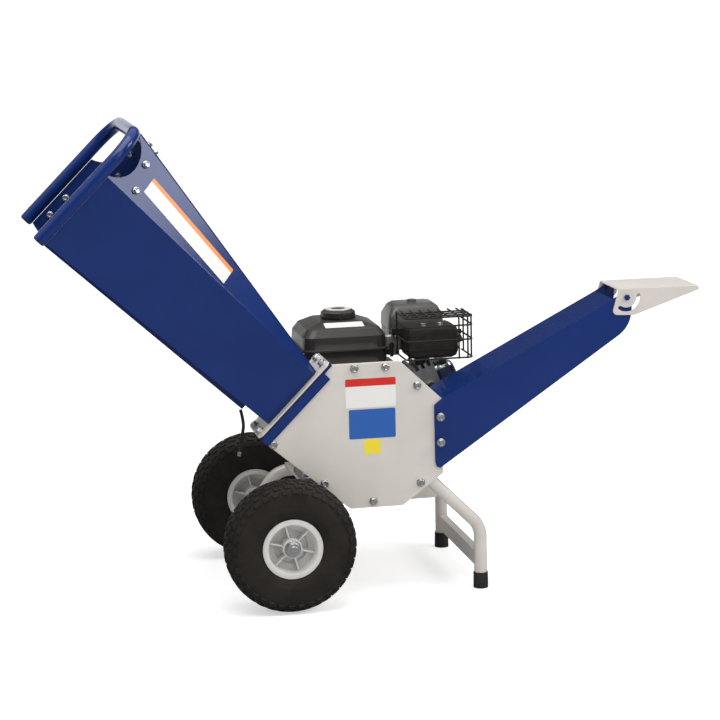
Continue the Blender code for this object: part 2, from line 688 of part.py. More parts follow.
def flange_piece(name, start, thickness, look):
    """Flat frame round the throat, square to the feed, with cut corners."""
    y0, y1 = HOUSING_NEAR_Y - SHEET - GAP, HOUSING_FAR_Y + SHEET + GAP
    half = FLANGE_HALF_LENGTH
    corner = 0.008
    outline = [(y0 + corner, -half), (y1 - corner, -half), (y1, -half + corner), (y1, half - corner),
               (y1 - corner, half), (y0 + corner, half), (y0, half - corner), (y0, -half + corner)]
    bm = lofted([[(along, y, across) for y, across in outline] for along in (start, start + thickness)])
    piece = add_object(name, to_feed(bm), look)
    opening = block((start - 0.01, HOUSING_MID_Y - THROAT_HALF_WIDTH, -THROAT_HALF_HEIGHT),
                    (start + thickness + 0.01, HOUSING_MID_Y + THROAT_HALF_WIDTH, THROAT_HALF_HEIGHT))
    cut(piece, to_feed(opening), "throat")
    return piece


def build_flanges(inlet):
    """Hopper flange and gasket in front of the inlet frame, held by four bolts."""
    gasket_start = -FLANGE_THICKNESS - GAP - GASKET_THICKNESS
    flange_start = gasket_start - GAP - FLANGE_THICKNESS
    gasket = flange_piece("flange_gasket", gasket_start, GASKET_THICKNESS, RUBBER)
    flange = flange_piece("hopper_flange", flange_start, FLANGE_THICKNESS, SILVER)
    for across, height in ((-1, "lower"), (1, "upper")):
        for sideways, side in ((-1, "near"), (1, "far")):
            y = HOUSING_MID_Y + sideways * 0.030
            offset = across * (FLANGE_HALF_LENGTH - 0.010)
            start = flange_start - 0.0050
            direction = feed_point(1, 0, 0) - feed_point(0, 0, 0)
            length = GAP + 0.007 - start
            bolt = turned(bolt_profile(0.0075, 0.0055, 0.004, length, 0.0075, 0.007), 6,
                          feed_point(start, y, offset), direction)
            join(flange, bolt, f"bolt_{height}_{side}")
            for piece in (inlet, gasket):
                hole = rod(feed_point(-0.03, y, offset), feed_point(0.012, y, offset), 0.005 + GAP, 8)
                cut(piece, hole, f"hole_{height}_{side}")
    return flange_start


# Hopper
def offset_chain(points, distance):
    """Open chain of (y, across) points moved sideways by a distance, with mitred corners."""
    moved = []
    for index, point in enumerate(points):
        here = Vector(point)
        normals = []
        if index:
            run = (here - Vector(points[index - 1])).normalized()
            normals.append(Vector((-run.y, run.x)))
        if index < len(points) - 1:
            run = (Vector(points[index + 1]) - here).normalized()
            normals.append(Vector((-run.y, run.x)))
        mitre = sum(normals, Vector((0, 0))).normalized()
        moved.append(tuple(here + mitre * distance / mitre.dot(normals[0])))
    return moved


def hopper_chain(top_half, top, half, fold, floor):
    """Cross-section of the hopper sheet from the near cheek round the floor to the far cheek."""
    half_chain = [(-top_half, top), (-half, fold), (-half, floor)]
    return half_chain + [(-y, across) for y, across in reversed(half_chain)]


def throat_section():
    """Section where the hopper meets its flange: the cheeks have tapered almost to nothing."""
    half = THROAT_HALF_WIDTH + HOPPER_SHEET
    top = THROAT_HALF_HEIGHT + HOPPER_SHEET
    return hopper_chain(half - 0.004, top, half, top - 0.004, -top)


def mouth_section():
    """Section at the open mouth, with wide cheeks under the top plate."""
    return hopper_chain(MOUTH_TOP_HALF_WIDTH, MOUTH_TOP, MOUTH_HALF_WIDTH, MOUTH_FOLD, MOUTH_FLOOR)


def lofted_sheet(throat, mouth, throat_at, mouth_at, thickness):
    """Folded sheet between two open chains, thickened towards the inside of the hopper."""
    bm = bmesh.new()
    loops = []
    for chain, along in ((throat, throat_at), (mouth, mouth_at)):
        inside = offset_chain(chain, thickness)
        outer = [bm.verts.new((along, HOUSING_MID_Y + y, across)) for y, across in chain]
        inner = [bm.verts.new((along, HOUSING_MID_Y + y, across)) for y, across in inside]
        loops.append((outer, inner))
    (outer_a, inner_a), (outer_b, inner_b) = loops
    last = len(throat) - 1
    for index in range(last):
        bm.faces.new((outer_a[index], outer_a[index + 1], outer_b[index + 1], outer_b[index]))
        bm.faces.new((inner_a[index], inner_b[index], inner_b[index + 1], inner_a[index + 1]))
        for outer, inner in loops:
            bm.faces.new((outer[index], inner[index], inner[index + 1], outer[index + 1]))
    for index in (0, last):
        bm.faces.new((outer_a[index], outer_b[index], inner_b[index], inner_a[index]))
    return to_feed(bm)


def build_hopper(flange_start):
    """Folded hopper body, its top plate, the strip under the floor and the carrying handle."""
    throat_at = flange_start - GAP
    mouth_at = throat_at - HOPPER_LENGTH
    sheet = lofted_sheet(throat_section(), mouth_section(), throat_at, mouth_at, HOPPER_SHEET)
    body = add_object("hopper_body", sheet, BLUE)
    for side in (-1, 1):
        fold = feed_point(mouth_at, HOUSING_MID_Y + side * MOUTH_HALF_WIDTH, MOUTH_FOLD)
        top = feed_point(mouth_at, HOUSING_MID_Y + side * MOUTH_TOP_HALF_WIDTH, MOUTH_TOP)
        inward = feed_point(1, 0, 0) - feed_point(0, 0, 0)
        normal = (top - fold).cross(inward).normalized()
        chord = (top - fold).length
        depth = math.sqrt(SCALLOP_RADIUS ** 2 - (chord / 2 - 0.004) ** 2)
        centre = (fold + top) / 2 - inward * depth
        cut(body, rod(centre - normal * 0.05, centre + normal * 0.05, SCALLOP_RADIUS, 36), f"scallop_{side}")
    seam_start = throat_at - 0.050
    share = (throat_at - seam_start) / HOPPER_LENGTH
    floor_a = throat_section()[2][1] * (1 - share) + MOUTH_FLOOR * share
    outline = [(seam_start, floor_a + HOPPER_SHEET / 2), (mouth_at + 0.002, MOUTH_FLOOR + HOPPER_SHEET / 2),
               (mouth_at + 0.002, MOUTH_FLOOR - SEAM_DEPTH), (seam_start, floor_a - SEAM_DEPTH)]
    half = HOPPER_SHEET * 0.75
    ribbon = lofted([[(along, y, across) for along, across in outline]
                     for y in (HOUSING_MID_Y - half, HOUSING_MID_Y + half)])
    join(body, to_feed(ribbon), "floor_seam")
    build_cord(seam_start - 0.004, floor_a - SEAM_DEPTH)
    top_plate = build_top_plate(throat_at, mouth_at)
    build_curtain(top_plate, throat_at)
    build_handle(mouth_at)


def build_top_plate(throat_at, mouth_at):
    """Flat plate that closes the hopper between the two cheeks."""
    loops = []
    for along, (half, across) in ((throat_at, throat_section()[0]), (mouth_at, mouth_section()[0])):
        low, high = across + GAP, across + GAP + HOPPER_SHEET
        loops.append([(along, HOUSING_MID_Y + y, z) for y, z in
                      ((half, low), (-half, low), (-half, high), (half, high))])
    return add_object("hopper_top_plate", to_feed(lofted(loops)), BLUE)


def build_curtain(top_plate, throat_at):
    """Rubber flap across the hopper, hung under a strip of the top plate by its rounded upper edge."""
    share = CURTAIN_FROM_THROAT / HOPPER_LENGTH
    near, wide = throat_section(), mouth_section()
    top_half = near[0][0] * (1 - share) + wide[0][0] * share
    top = near[0][1] * (1 - share) + wide[0][1] * share
    fold = near[1][1] * (1 - share) + wide[1][1] * share
    floor = near[2][1] * (1 - share) + wide[2][1] * share
    along = throat_at - CURTAIN_FROM_THROAT
    reach = -top_half - 0.006
    hang = top - 0.010
    strip = block((along - 0.008, HOUSING_MID_Y - reach, hang),
                  (along + 0.008, HOUSING_MID_Y + reach, top + 0.0015))
    join(top_plate, to_feed(strip), "curtain_strip")
    half = THROAT_HALF_WIDTH + 0.016
    bead = CURTAIN_THICKNESS / 2
    axis = hang - GAP - bead
    loops = []
    for degrees in (-90, -45, 0, 45, 90):
        at = along + bead * math.sin(math.radians(degrees))
        edge = axis + bead * math.cos(math.radians(degrees))
        right = [(reach - 0.002, edge), (half, fold - 0.006), (half, floor + 0.014)]
        outline = right + [(-y, across) for y, across in reversed(right)]
        loops.append([(at, HOUSING_MID_Y + y, across) for y, across in outline])
    origin = feed_point(along, HOUSING_MID_Y, axis)
    add_object("rubber_curtain", to_feed(lofted(loops)), RUBBER, origin)


def build_cord(along, across):
    """Short tether that hangs from the lower end of the floor seam."""
    start = feed_point(along, HOUSING_MID_Y, across)
    radius = CORD_RADIUS
    start.z -= GAP + radius * 1.2
    route = [Vector(start), start + Vector((0.003, 0, -0.014)), start + Vector((0.005, 0.001, -0.034)),
             start + Vector((0.001, 0.002, -0.058)), start + Vector((-0.005, 0.001, -0.092))]
    data = bpy.data.curves.new("tether_cord", 'CURVE')
    data.dimensions = '3D'
    data.bevel_depth = radius
    data.bevel_resolution = 2
    data.use_fill_caps = True
    spline = data.splines.new('POLY')
    points = smooth_route(route, 9)
    spline.points.add(len(points) - 1)
    for target, point in zip(spline.points, points):
        target.co = (*point, 1)
    data.materials.append(make_material("tether_cord", RUBBER))
    cord = bpy.data.objects.new("tether_cord", data)
    cord.parent = ROOT
    bpy.context.collection.objects.link(cord)


def smooth_route(route, count):
    """Evenly shared points of a smooth curve through the route's own points."""
    padded = [route[0] * 2 - route[1]] + route + [route[-1] * 2 - route[-2]]
    points = []
    for step in range(count):
        place = step / (count - 1) * (len(route) - 1)
        leg = min(int(place), len(route) - 2)
        t = place - leg
        a, b, c, d = padded[leg:leg + 4]
        points.append(0.5 * (2 * b + (c - a) * t + (2 * a - 5 * b + 4 * c - d) * t ** 2
                             + (3 * b - a - 3 * c + d) * t ** 3))
    return points


def build_handle(mouth_at):
    """U-shaped tube along both sides of the mouth and across its top."""
    along = mouth_at - TUBE_RADIUS - HANDLE_WALL_ROOM
    out = MOUTH_HALF_WIDTH + HANDLE_OFFSET
    low = MOUTH_FLOOR - 0.004
    near, far = HOUSING_MID_Y - out, HOUSING_MID_Y + out
    corners = [feed_point(along, near, low), feed_point(along, near, HANDLE_REACH),
               feed_point(along, far, HANDLE_REACH), feed_point(along, far, low)]
    path = bent_path(corners, HANDLE_BEND_RADIUS, 5)
    add_object("hopper_handle", swept(path, TUBE_RADIUS, TUBE_WALL), BLUE)


# Discharge chute
def chute_side_outline():
    """Side panel of the chute with its lug over the side plate and its rounded nose."""
    tan_floor, tan_roof = math.tan(CHUTE_FLOOR_SLOPE), math.tan(CHUTE_ROOF_SLOPE)
    nose_x = CHUTE_NOSE - CHUTE_NOSE_RADIUS * (1 - math.sin(CHUTE_FLOOR_SLOPE))
    nose_z = CHUTE_FLOOR_HEIGHT + (nose_x - CHUTE_LEFT) * tan_floor
    centre = (CHUTE_NOSE - CHUTE_NOSE_RADIUS, nose_z + CHUTE_NOSE_RADIUS * math.cos(CHUTE_FLOOR_SLOPE))
    nose = arc(centre, CHUTE_NOSE_RADIUS, CHUTE_FLOOR_SLOPE - math.pi / 2, 0, 6)
    ear = arc(PIVOT, PIVOT_EAR_RADIUS, 0, math.radians(115), 6)
    roof_end = CHUTE_ROOF_HEIGHT + (CHUTE_ROOF_END - CHUTE_LEFT) * tan_roof
    lug = CHUTE_LEFT - 0.017
    return ([(CHUTE_ROOF_END, roof_end), (CHUTE_LEFT - 0.002, CHUTE_ROOF_HEIGHT),
             (lug, CHUTE_ROOF_HEIGHT - 0.012), (lug + 0.001, CHUTE_FLOOR_HEIGHT + 0.004),
             (lug + 0.004, CHUTE_FLOOR_HEIGHT - 0.005), (lug + 0.011, CHUTE_FLOOR_HEIGHT - 0.008)] + nose + ear)


def build_chute():
    """Box chute: two side panels, floor and roof, open at both ends."""
    y0, y1 = HOUSING_NEAR_Y - SHEET - GAP, HOUSING_FAR_Y + SHEET + GAP
    chute = add_object("chute_body", prism(chute_side_outline(), y0, y1), BLUE)
    tan_floor, tan_roof = math.tan(CHUTE_FLOOR_SLOPE), math.tan(CHUTE_ROOF_SLOPE)
    start = CHUTE_LEFT + GAP
    floor_rise = SHEET / math.cos(CHUTE_FLOOR_SLOPE)
    roof_drop = SHEET / math.cos(CHUTE_ROOF_SLOPE)
    floor_at = CHUTE_FLOOR_HEIGHT + (start - CHUTE_LEFT) * tan_floor + floor_rise
    roof_at = CHUTE_ROOF_HEIGHT + (start - CHUTE_LEFT) * tan_roof - roof_drop
    end = CHUTE_NOSE - 0.045
    floor_end = CHUTE_FLOOR_HEIGHT + (end - CHUTE_LEFT) * tan_floor
    roof_end = CHUTE_ROOF_HEIGHT + (CHUTE_ROOF_END - CHUTE_LEFT) * tan_roof
    margin = 0.04
    under, over = CHUTE_FLOOR_HEIGHT - margin, CHUTE_ROOF_HEIGHT + margin
    inside = [(start, floor_at), (start, under), (start - margin, under), (start - margin, over), (start, over),
              (start, roof_at), (CHUTE_ROOF_END, roof_end - roof_drop), (CHUTE_ROOF_END, roof_end + margin),
              (CHUTE_NOSE + margin, roof_end + margin), (CHUTE_NOSE + margin, floor_end - margin),
              (end, floor_end - margin), (end, floor_end + floor_rise)]
    cut(chute, prism(inside, HOUSING_NEAR_Y - GAP, HOUSING_FAR_Y + GAP), "inside")
    return chute


def deflector_outline():
    """Side profile of the deflector: flat top, deep left end, long taper to the tip."""
    x, z = PIVOT
    top = z + DEFLECTOR_TOP
    return rounded([(x - 0.016, top, 0.002), (x - 0.031, z - 0.034, 0.009), (x + 0.016, z - 0.036, 0.014),
                    (x + DEFLECTOR_LENGTH + 0.003, top - 0.008, 0.002), (x + DEFLECTOR_LENGTH, top, 0.002)], 3)


def slot_outline():
    """Curved slot round the pivot with round ends."""
    outer = arc(PIVOT, SLOT_RADIUS + SLOT_HALF_WIDTH, SLOT_LAST_ANGLE, SLOT_FIRST_ANGLE, 8)
    inner = arc(PIVOT, SLOT_RADIUS - SLOT_HALF_WIDTH, SLOT_FIRST_ANGLE, SLOT_LAST_ANGLE, 8)
    ends = []
    for angle, turn in ((SLOT_FIRST_ANGLE, 1), (SLOT_LAST_ANGLE, -1)):
        centre = (PIVOT[0] + SLOT_RADIUS * math.cos(angle), PIVOT[1] + SLOT_RADIUS * math.sin(angle))
        first = angle if turn > 0 else angle + math.pi
        ends.append(arc(centre, SLOT_HALF_WIDTH, first, first + math.pi, 4)[1:-1])
    return outer + ends[0] + inner + ends[1]


def build_deflector(chute):
    """Tilting channel on the two pivot bolts of the chute, and the lock knob in the far slot."""
    outer0 = HOUSING_NEAR_Y - SHEET - 2 * GAP - DEFLECTOR_SHEET
    outer1 = HOUSING_FAR_Y + SHEET + 2 * GAP + DEFLECTOR_SHEET
    origin = (PIVOT[0], (outer0 + outer1) / 2, PIVOT[1])
    deflector = add_object("deflector", prism(deflector_outline(), outer0, outer1), SILVER, origin)
    under = PIVOT[1] + DEFLECTOR_TOP - DEFLECTOR_SHEET
    inside = block((PIVOT[0] - 0.06, outer0 + DEFLECTOR_SHEET, PIVOT[1] - 0.06),
                   (PIVOT[0] + DEFLECTOR_LENGTH + 0.05, outer1 - DEFLECTOR_SHEET, under))
    cut(deflector, inside, "inside")
    cut(deflector, prism(slot_outline(), outer0 - 0.01, outer1 + 0.01), "slot")
    pivot_line = ((PIVOT[0], outer0 - 0.01, PIVOT[1]), (PIVOT[0], outer1 + 0.01, PIVOT[1]))
    cut(deflector, rod(*pivot_line, BOLT_RADIUS + GAP, 12), "pivot_hole")
    for side, face, label in ((1, outer0, "near"), (-1, outer1, "far")):
        start = (PIVOT[0], face - side * (GAP + 0.004), PIVOT[1])
        length = 0.004 + GAP * 3 + DEFLECTOR_SHEET + SHEET + 0.005
        bolt = turned(bolt_profile(0.006, 0.004, BOLT_RADIUS, length, 0.0055, 0.0045), 6, start, (0, side, 0))
        join(chute, bolt, f"pivot_bolt_{label}")
    stud = (PIVOT[0] + SLOT_RADIUS * math.cos(STUD_ANGLE), PIVOT[1] + SLOT_RADIUS * math.sin(STUD_ANGLE))
    start, end = (stud[0], HOUSING_FAR_Y - 0.01, stud[1]), (stud[0], outer1 + 0.01, stud[1])
    cut(chute, rod(start, end, BOLT_RADIUS + GAP), "stud_hole")
    knob_at = outer1 + GAP
    head = 0.005
    shank_start = HOUSING_FAR_Y - head
    profile = [(0, shank_start), (0.006, shank_start), (0.006, shank_start + head),
               (BOLT_RADIUS, shank_start + head), (BOLT_RADIUS, knob_at), (0.013, knob_at),
               (0.014, knob_at + 0.010), (0.011, knob_at + 0.013), (0, knob_at + 0.013)]
    knob = turned(profile, 12, (stud[0], 0, stud[1]))
    add_object("lock_knob", knob, PLASTIC_BLACK, (stud[0], knob_at, stud[1]))


# Drum
def build_drum():
    """Drum on the engine shaft with two bolted knives, the bolt that holds it, and the fixed counter knife."""
    y0, y1 = HOUSING_NEAR_Y + SHEET + DRUM_NEAR_ROOM, HOUSING_FAR_Y - SHEET - 0.006
    shaft = (SHAFT_X, 0, SHAFT_Z)
    core = DRUM_RADIUS - 0.012
    bore = SHAFT_RADIUS + GAP
    profile = [(bore, y0), (core, y0), (core, y1), (bore, y1)]
    drum = add_object("rotor_drum", turned(profile, 24, shaft), STEEL, shaft)
    inner = core - 0.022
    under = -0.004
    for index, label in ((0, "a"), (1, "b")):
        turn = Matrix.Translation(shaft) @ Matrix.Rotation(math.radians(180 * index + 20), 4, 'Y')
        seat = block((inner, y0 - 0.01, under), (core + 0.02, y1 + 0.01, 0.030))
        bmesh.ops.transform(seat, matrix=turn, verts=seat.verts)
        cut(drum, seat, f"seat_{label}")
        low = under + GAP
        outline = [(inner + GAP, low), (DRUM_RADIUS - 0.006, low), (DRUM_RADIUS, low + 0.001),
                   (DRUM_RADIUS - 0.007, low + KNIFE_THICKNESS), (inner + GAP, low + KNIFE_THICKNESS)]
        knife = prism(outline, y0 + 0.001, y1 - 0.001)
        bmesh.ops.transform(knife, matrix=turn, verts=knife.verts)
        add_object(f"knife_{label}", knife, ZINC)
    face = y0 - GAP
    profile = [(0, face - 0.007), (0.009, face - 0.007), (0.009, face - 0.002), (0.020, face - 0.002),
               (0.020, face), (ROTOR_BOLT_RADIUS, face), (ROTOR_BOLT_RADIUS, face + 0.020), (0, face + 0.020)]
    add_object("rotor_bolt", turned(profile, 12, shaft), ZINC)
    build_counter_knife()


def build_counter_knife():
    """Fixed bar on the throat floor, whose edge stands close to the path of the knives."""
    cos, sin = math.cos(FEED_ANGLE), math.sin(FEED_ANGLE)
    dx, dz = SHAFT_X - FEED_CENTRE[0], SHAFT_Z - FEED_CENTRE[1]
    shaft_along, shaft_across = dx * cos - dz * sin, dx * sin + dz * cos
    low = GAP - THROAT_HALF_HEIGHT
    high = low + COUNTER_KNIFE_THICKNESS
    end = shaft_along - math.sqrt((DRUM_RADIUS + COUNTER_KNIFE_GAP) ** 2 - (shaft_across - high) ** 2)
    y0, y1 = HOUSING_NEAR_Y + SHEET + GAP, HOUSING_FAR_Y - SHEET - GAP
    bar = block((end - COUNTER_KNIFE_LENGTH, y0, low), (end, y1, high))
    add_object("counter_knife", to_feed(bar), STEEL)


# Engine
def along_cylinder(distance, offset):
    """XZ point at a distance from the shaft along the tilted cylinder, and an offset square to it."""
    cos, sin = math.cos(CYLINDER_TILT), math.sin(CYLINDER_TILT)
    return (SHAFT_X + distance * cos - offset * sin, SHAFT_Z + distance * sin + offset * cos)


def finned_outline(start, end, core, fin, count, thickness):
    """Comb-shaped outline: barrel or head with cooling fins above and below, the last one ending it."""
    pitch = (end - start - thickness) / (count - 1)
    upper = []
    for index in range(count):
        position = start + index * pitch
        upper += [(position, core), (position, fin), (position + thickness, fin), (position + thickness, core)]
    lower = [(distance, -offset) for distance, offset in reversed(upper)]
    return [along_cylinder(distance, offset) for distance, offset in upper + lower]


def case_outline(inset, radius):
    """Rounded side view of the crankcase, drawn in by an inset."""
    x0, x1 = SHAFT_X - CASE_HALF_WIDTH + inset, SHAFT_X + CASE_HALF_WIDTH - inset
    z0, z1 = PLATFORM_TOP + GAP + inset, CASE_TOP - inset
    return rounded([(x0, z0, 0.004), (x0, z1, radius), (x1, z1, radius), (x1, z0, 0.004)], 4)


def shroud_outline(inset):
    """Round fan housing that widens over the cylinder."""
    radius = SHROUD_RADIUS - inset
    first = CYLINDER_TILT + SHROUD_OPENING
    last = CYLINDER_TILT - SHROUD_OPENING + 2 * math.pi
    end = SHROUD_REACH - inset
    tail = [along_cylinder(end, inset - SHROUD_TAIL), along_cylinder(end, SHROUD_TAIL - inset)]
    return arc((SHAFT_X, SHAFT_Z), radius, first, last, 15) + tail


def build_crankcase():
    """Cast crankcase with its finned barrel and fan-side flange, closed by the side cover."""
    case = add_object("crankcase", prism(case_outline(0, 0.028), CASE_NEAR_Y, CASE_FAR_Y), CAST_ALUMINIUM)
    fins = finned_outline(0.060, BARREL_END, 0.038, 0.048, 8, 0.004)
    join(case, prism(fins, BARREL_NEAR_Y, BARREL_FAR_Y), "barrel")
    join(case, prism(shroud_outline(0), CASE_FAR_Y - 0.004, CASE_FAR_Y + 0.001), "fan_flange")
    foot = PLATFORM_TOP + GAP
    half = CASE_HALF_WIDTH + 0.016
    low, high = (SHAFT_X - half, CASE_NEAR_Y + 0.008, foot), (SHAFT_X + half, CASE_FAR_Y - 0.018, foot + 0.011)
    join(case, block(low, high, 0.002, 1), "foot")
    inside = prism(case_outline(CASE_WALL, 0.024), CASE_NEAR_Y - 0.01, CASE_FAR_Y - CASE_WALL)
    cut(case, inside, "inside")
    start, end = (SHAFT_X, CASE_NEAR_Y, SHAFT_Z), (SHAFT_X, CASE_FAR_Y + 0.01, SHAFT_Z)
    cut(case, rod(start, end, SHAFT_RADIUS + GAP, 20), "shaft_hole")
    wall = SHAFT_X - CASE_HALF_WIDTH
    start, end = (wall - 0.02, OIL_CAP_Y, OIL_CAP_Z), (wall + 0.02, OIL_CAP_Y, OIL_CAP_Z)
    cut(case, rod(start, end, OIL_CAP_RADIUS + GAP, 16), "filler")
    outer = CASE_NEAR_Y - GAP
    plate = prism(case_outline(0.002, 0.026), outer - 0.010, outer)
    cover = add_object("crankcase_cover", plate, CAST_ALUMINIUM)
    profile = [(0, ENGINE_FACE_Y), (0.044, ENGINE_FACE_Y), (0.052, outer - 0.008), (0, outer - 0.008)]
    join(cover, turned(profile, 24, (SHAFT_X, 0, SHAFT_Z)), "boss")
    start, end = (SHAFT_X, ENGINE_FACE_Y - 0.01, SHAFT_Z), (SHAFT_X, outer + 0.02, SHAFT_Z)
    cut(cover, rod(start, end, SHAFT_RADIUS + GAP, 20), "bore")


def build_crankshaft():
    """Stepped shaft with two round webs and an offset crank pin."""
    shaft = (SHAFT_X, 0, SHAFT_Z)
    near = HOUSING_NEAR_Y + SHEET + DRUM_NEAR_ROOM + 0.002
    bore = ROTOR_BOLT_RADIUS + GAP
    web0, web1, web2, web3 = (CASE_NEAR_Y + offset for offset in (0.040, 0.054, 0.078, 0.092))
    web, throw, taper = 0.040, 0.025, FLYWHEEL_BORE
    depth = near + 0.024
    profile = [(0, depth), (bore, depth), (bore, near), (SHAFT_RADIUS, near), (SHAFT_RADIUS, web0), (web, web0),
               (web, web1), (0, web1)]
    crank = add_object("crankshaft", turned(profile, 16, shaft), STEEL, shaft)
    pin = ((SHAFT_X - throw, web1 - 0.004, SHAFT_Z), (SHAFT_X - throw, web2 + 0.004, SHAFT_Z))
    join(crank, rod(*pin, 0.013, 12), "pin")
    end = FLYWHEEL_Y + 0.026
    tail = [(0, web2), (web, web2), (web, web3), (SHAFT_RADIUS, web3), (SHAFT_RADIUS, FLYWHEEL_Y),
            (taper, FLYWHEEL_Y), (taper, end), (0, end)]
    join(crank, turned(tail, 16, shaft), "tail")


def build_flywheel():
    """Flywheel with fan blades and the cup that the starter grips."""
    shaft = (SHAFT_X, 0, SHAFT_Z)
    y0 = FLYWHEEL_Y + GAP
    bore = FLYWHEEL_BORE + GAP
    profile = [(bore, y0), (FLYWHEEL_RADIUS, y0), (FLYWHEEL_RADIUS, y0 + 0.012), (bore, y0 + 0.012)]
    flywheel = add_object("flywheel", turned(profile, 22, shaft), CAST_ALUMINIUM, shaft)
    blades = bmesh.new()
    inner, outer, thickness = FLYWHEEL_RADIUS - 0.030, FLYWHEEL_RADIUS - 0.002, 0.003
    for index in range(6):
        place = Matrix.Translation(shaft) @ Matrix.Rotation(2 * math.pi * index / 6, 4, 'Y')
        outline = [(inner, 0), (outer, 0), (outer, thickness), (inner, thickness)]
        lofted([[place @ Vector((x, y, z)) for x, z in outline] for y in (y0 + 0.010, y0 + 0.024)], blades)
    join(flywheel, blades, "blades")
    cup = [(bore, y0 + 0.008), (0.026, y0 + 0.008), (0.026, y0 + 0.030), (0.022, y0 + 0.030),
           (0.022, y0 + 0.016), (bore, y0 + 0.016)]
    join(flywheel, turned(cup, 20, shaft), "starter_cup")


def build_shroud():
    """Fan housing, and the recoil cover with its vent slots."""
    y0, y1 = CASE_FAR_Y + 0.001 + GAP, SHROUD_FAR_Y
    wall = PLASTIC_WALL
    shroud = add_object("fan_shroud", prism(shroud_outline(0), y0, y1), PLASTIC_BLACK)
    cut(shroud, prism(shroud_outline(wall), y0 - 0.01, y1 - wall), "inside")
    cut(shroud, rod((SHAFT_X, y1 - 0.02, SHAFT_Z), (SHAFT_X, y1 + 0.01, SHAFT_Z), 0.062, 28), "air_inlet")
    r0, r1 = y1 + GAP, y1 + RECOIL_DEPTH
    rim, crown, post = RECOIL_RADIUS, RECOIL_RADIUS - 0.018, 0.0065
    outer = [(0, r1), (crown - 0.012, r1), (crown, r1 - 0.008), (rim, r1 - 0.010), (rim, r0), (rim - wall, r0),
             (rim - wall, r1 - 0.0125), (crown - 0.002, r1 - 0.0115), (crown - 0.013, r1 - wall),
             (post, r1 - wall), (post, r0 + 0.006), (0, r0 + 0.006)]
    recoil = add_object("recoil_cover", turned(outer, 26, (SHAFT_X, 0, SHAFT_Z)), PLASTIC_BLACK)
    vents = bmesh.new()
    for index in range(8):
        angle = 2 * math.pi * (index + 0.5) / 8
        place = Matrix.Translation((SHAFT_X, 0, SHAFT_Z)) @ Matrix.Rotation(angle, 4, 'Y')
        outline = [(0.024, -0.003), (0.044, -0.003), (0.044, 0.003), (0.024, 0.003)]
        lofted([[place @ Vector((x, y, z)) for x, z in outline] for y in (r1 - 0.006, r1 + 0.004)], vents)
    cut(recoil, vents, "vents")
    build_starter(recoil, r0, post)


def build_starter(recoil, r0, post):
    """Rope reel on the cover's post, the hole that the rope leaves by, and the grip in front of it."""
    pull = Vector((-0.8, 0, 0.6))
    square = Vector((0.6, 0, 0.8))
    rope_y = r0 + 0.014
    exit_point = Vector((SHAFT_X, rope_y, SHAFT_Z)) + square * REEL_RADIUS
    edge = math.sqrt(RECOIL_RADIUS ** 2 - REEL_RADIUS ** 2)
    hole = rod(exit_point + pull * (edge - 0.02), exit_point + pull * (edge + 0.02), 0.004, 12)
    cut(recoil, hole, "rope_hole")
    bore, lip, floor = post + GAP, REEL_RADIUS + 0.004, REEL_RADIUS - 0.004
    reel = [(bore, r0 + 0.008), (lip, r0 + 0.008), (lip, r0 + 0.010), (floor, r0 + 0.0115),
            (floor, r0 + 0.0165), (lip, r0 + 0.018), (lip, r0 + 0.020), (bore, r0 + 0.020)]
    centre = (SHAFT_X, rope_y, SHAFT_Z)
    add_object("starter_reel", turned(reel, 16, (SHAFT_X, 0, SHAFT_Z)), PLASTIC_BLACK, centre)
    stem = 0.010
    seat = exit_point + pull * (math.sqrt(RECOIL_RADIUS ** 2 - (REEL_RADIUS - stem) ** 2) + GAP)
    grip_at = seat + pull * 0.028
    bar = swept([grip_at - square * 0.044, grip_at + square * 0.044], 0.0125, sides=14)
    grip = add_object("starter_grip", bar, RUBBER, seat)
    join(grip, rod(seat, grip_at, stem, 14), "stem")


def build_head():
    """Finned cylinder head, rocker cover, and the spark plug with its cap."""
    fins = finned_outline(BARREL_END + GAP, HEAD_END, 0.040, HEAD_FIN, 4, 0.006)
    head = add_object("cylinder_head", prism(fins, BARREL_NEAR_Y, BARREL_FAR_Y), CAST_ALUMINIUM)
    loops = []
    base, end = HEAD_END + GAP, ROCKER_END
    for distance, inset in ((base, 0.0), (base + 0.006, 0.0), (base + 0.006, 0.004), (end - 0.012, 0.006),
                            (end - 0.003, 0.010), (end, 0.016)):
        half, y0, y1 = 0.036 - inset, BARREL_NEAR_Y + 0.004 + inset, BARREL_FAR_Y - 0.004 - inset
        outline = rounded([(-half, y0, 0.010), (half, y0, 0.010), (half, y1, 0.010), (-half, y1, 0.010)], 2)
        points = [(along_cylinder(distance, offset), y) for offset, y in outline]
        loops.append([(x, y, z) for (x, z), y in points])
    add_object("rocker_cover", lofted(loops), ENGINE_BLACK)
    x, z = along_cylinder(PORT_DISTANCE, 0.0)
    face = BARREL_NEAR_Y - GAP
    plug = 0.006
    cut(head, rod((x, face - 0.002, z), (x, face + 0.026, z), plug + GAP, 12), "plug_hole")
    profile = [(0, 0.024), (plug, 0.024), (plug, 0), (0.011, 0), (0.011, -0.008), (plug, -0.008),
               (0.005, -0.026), (0, -0.026)]
    add_object("spark_plug", turned(profile, 12, (x, face, z)), ZINC)
    cap = [(0, -0.027), (plug + 0.0005 + GAP, -0.027), (plug + 0.0005 + GAP, -0.009), (0.011, -0.009),
           (0.012, -0.036), (0.008, -0.040), (0, -0.040)]
    add_object("spark_plug_cap", turned(cap, 14, (x, face, z)), RUBBER)


def head_top_space(y0, y1):
    """Space taken by the top of the head's fins, cut out of what is seated on it."""
    low, high = BARREL_END - 0.004, HEAD_END + 0.005
    corners = [along_cylinder(low, 0.030), along_cylinder(high, 0.030), along_cylinder(high, HEAD_FIN + GAP),
               along_cylinder(low, HEAD_FIN + GAP)]
    return prism(corners, y0, y1)


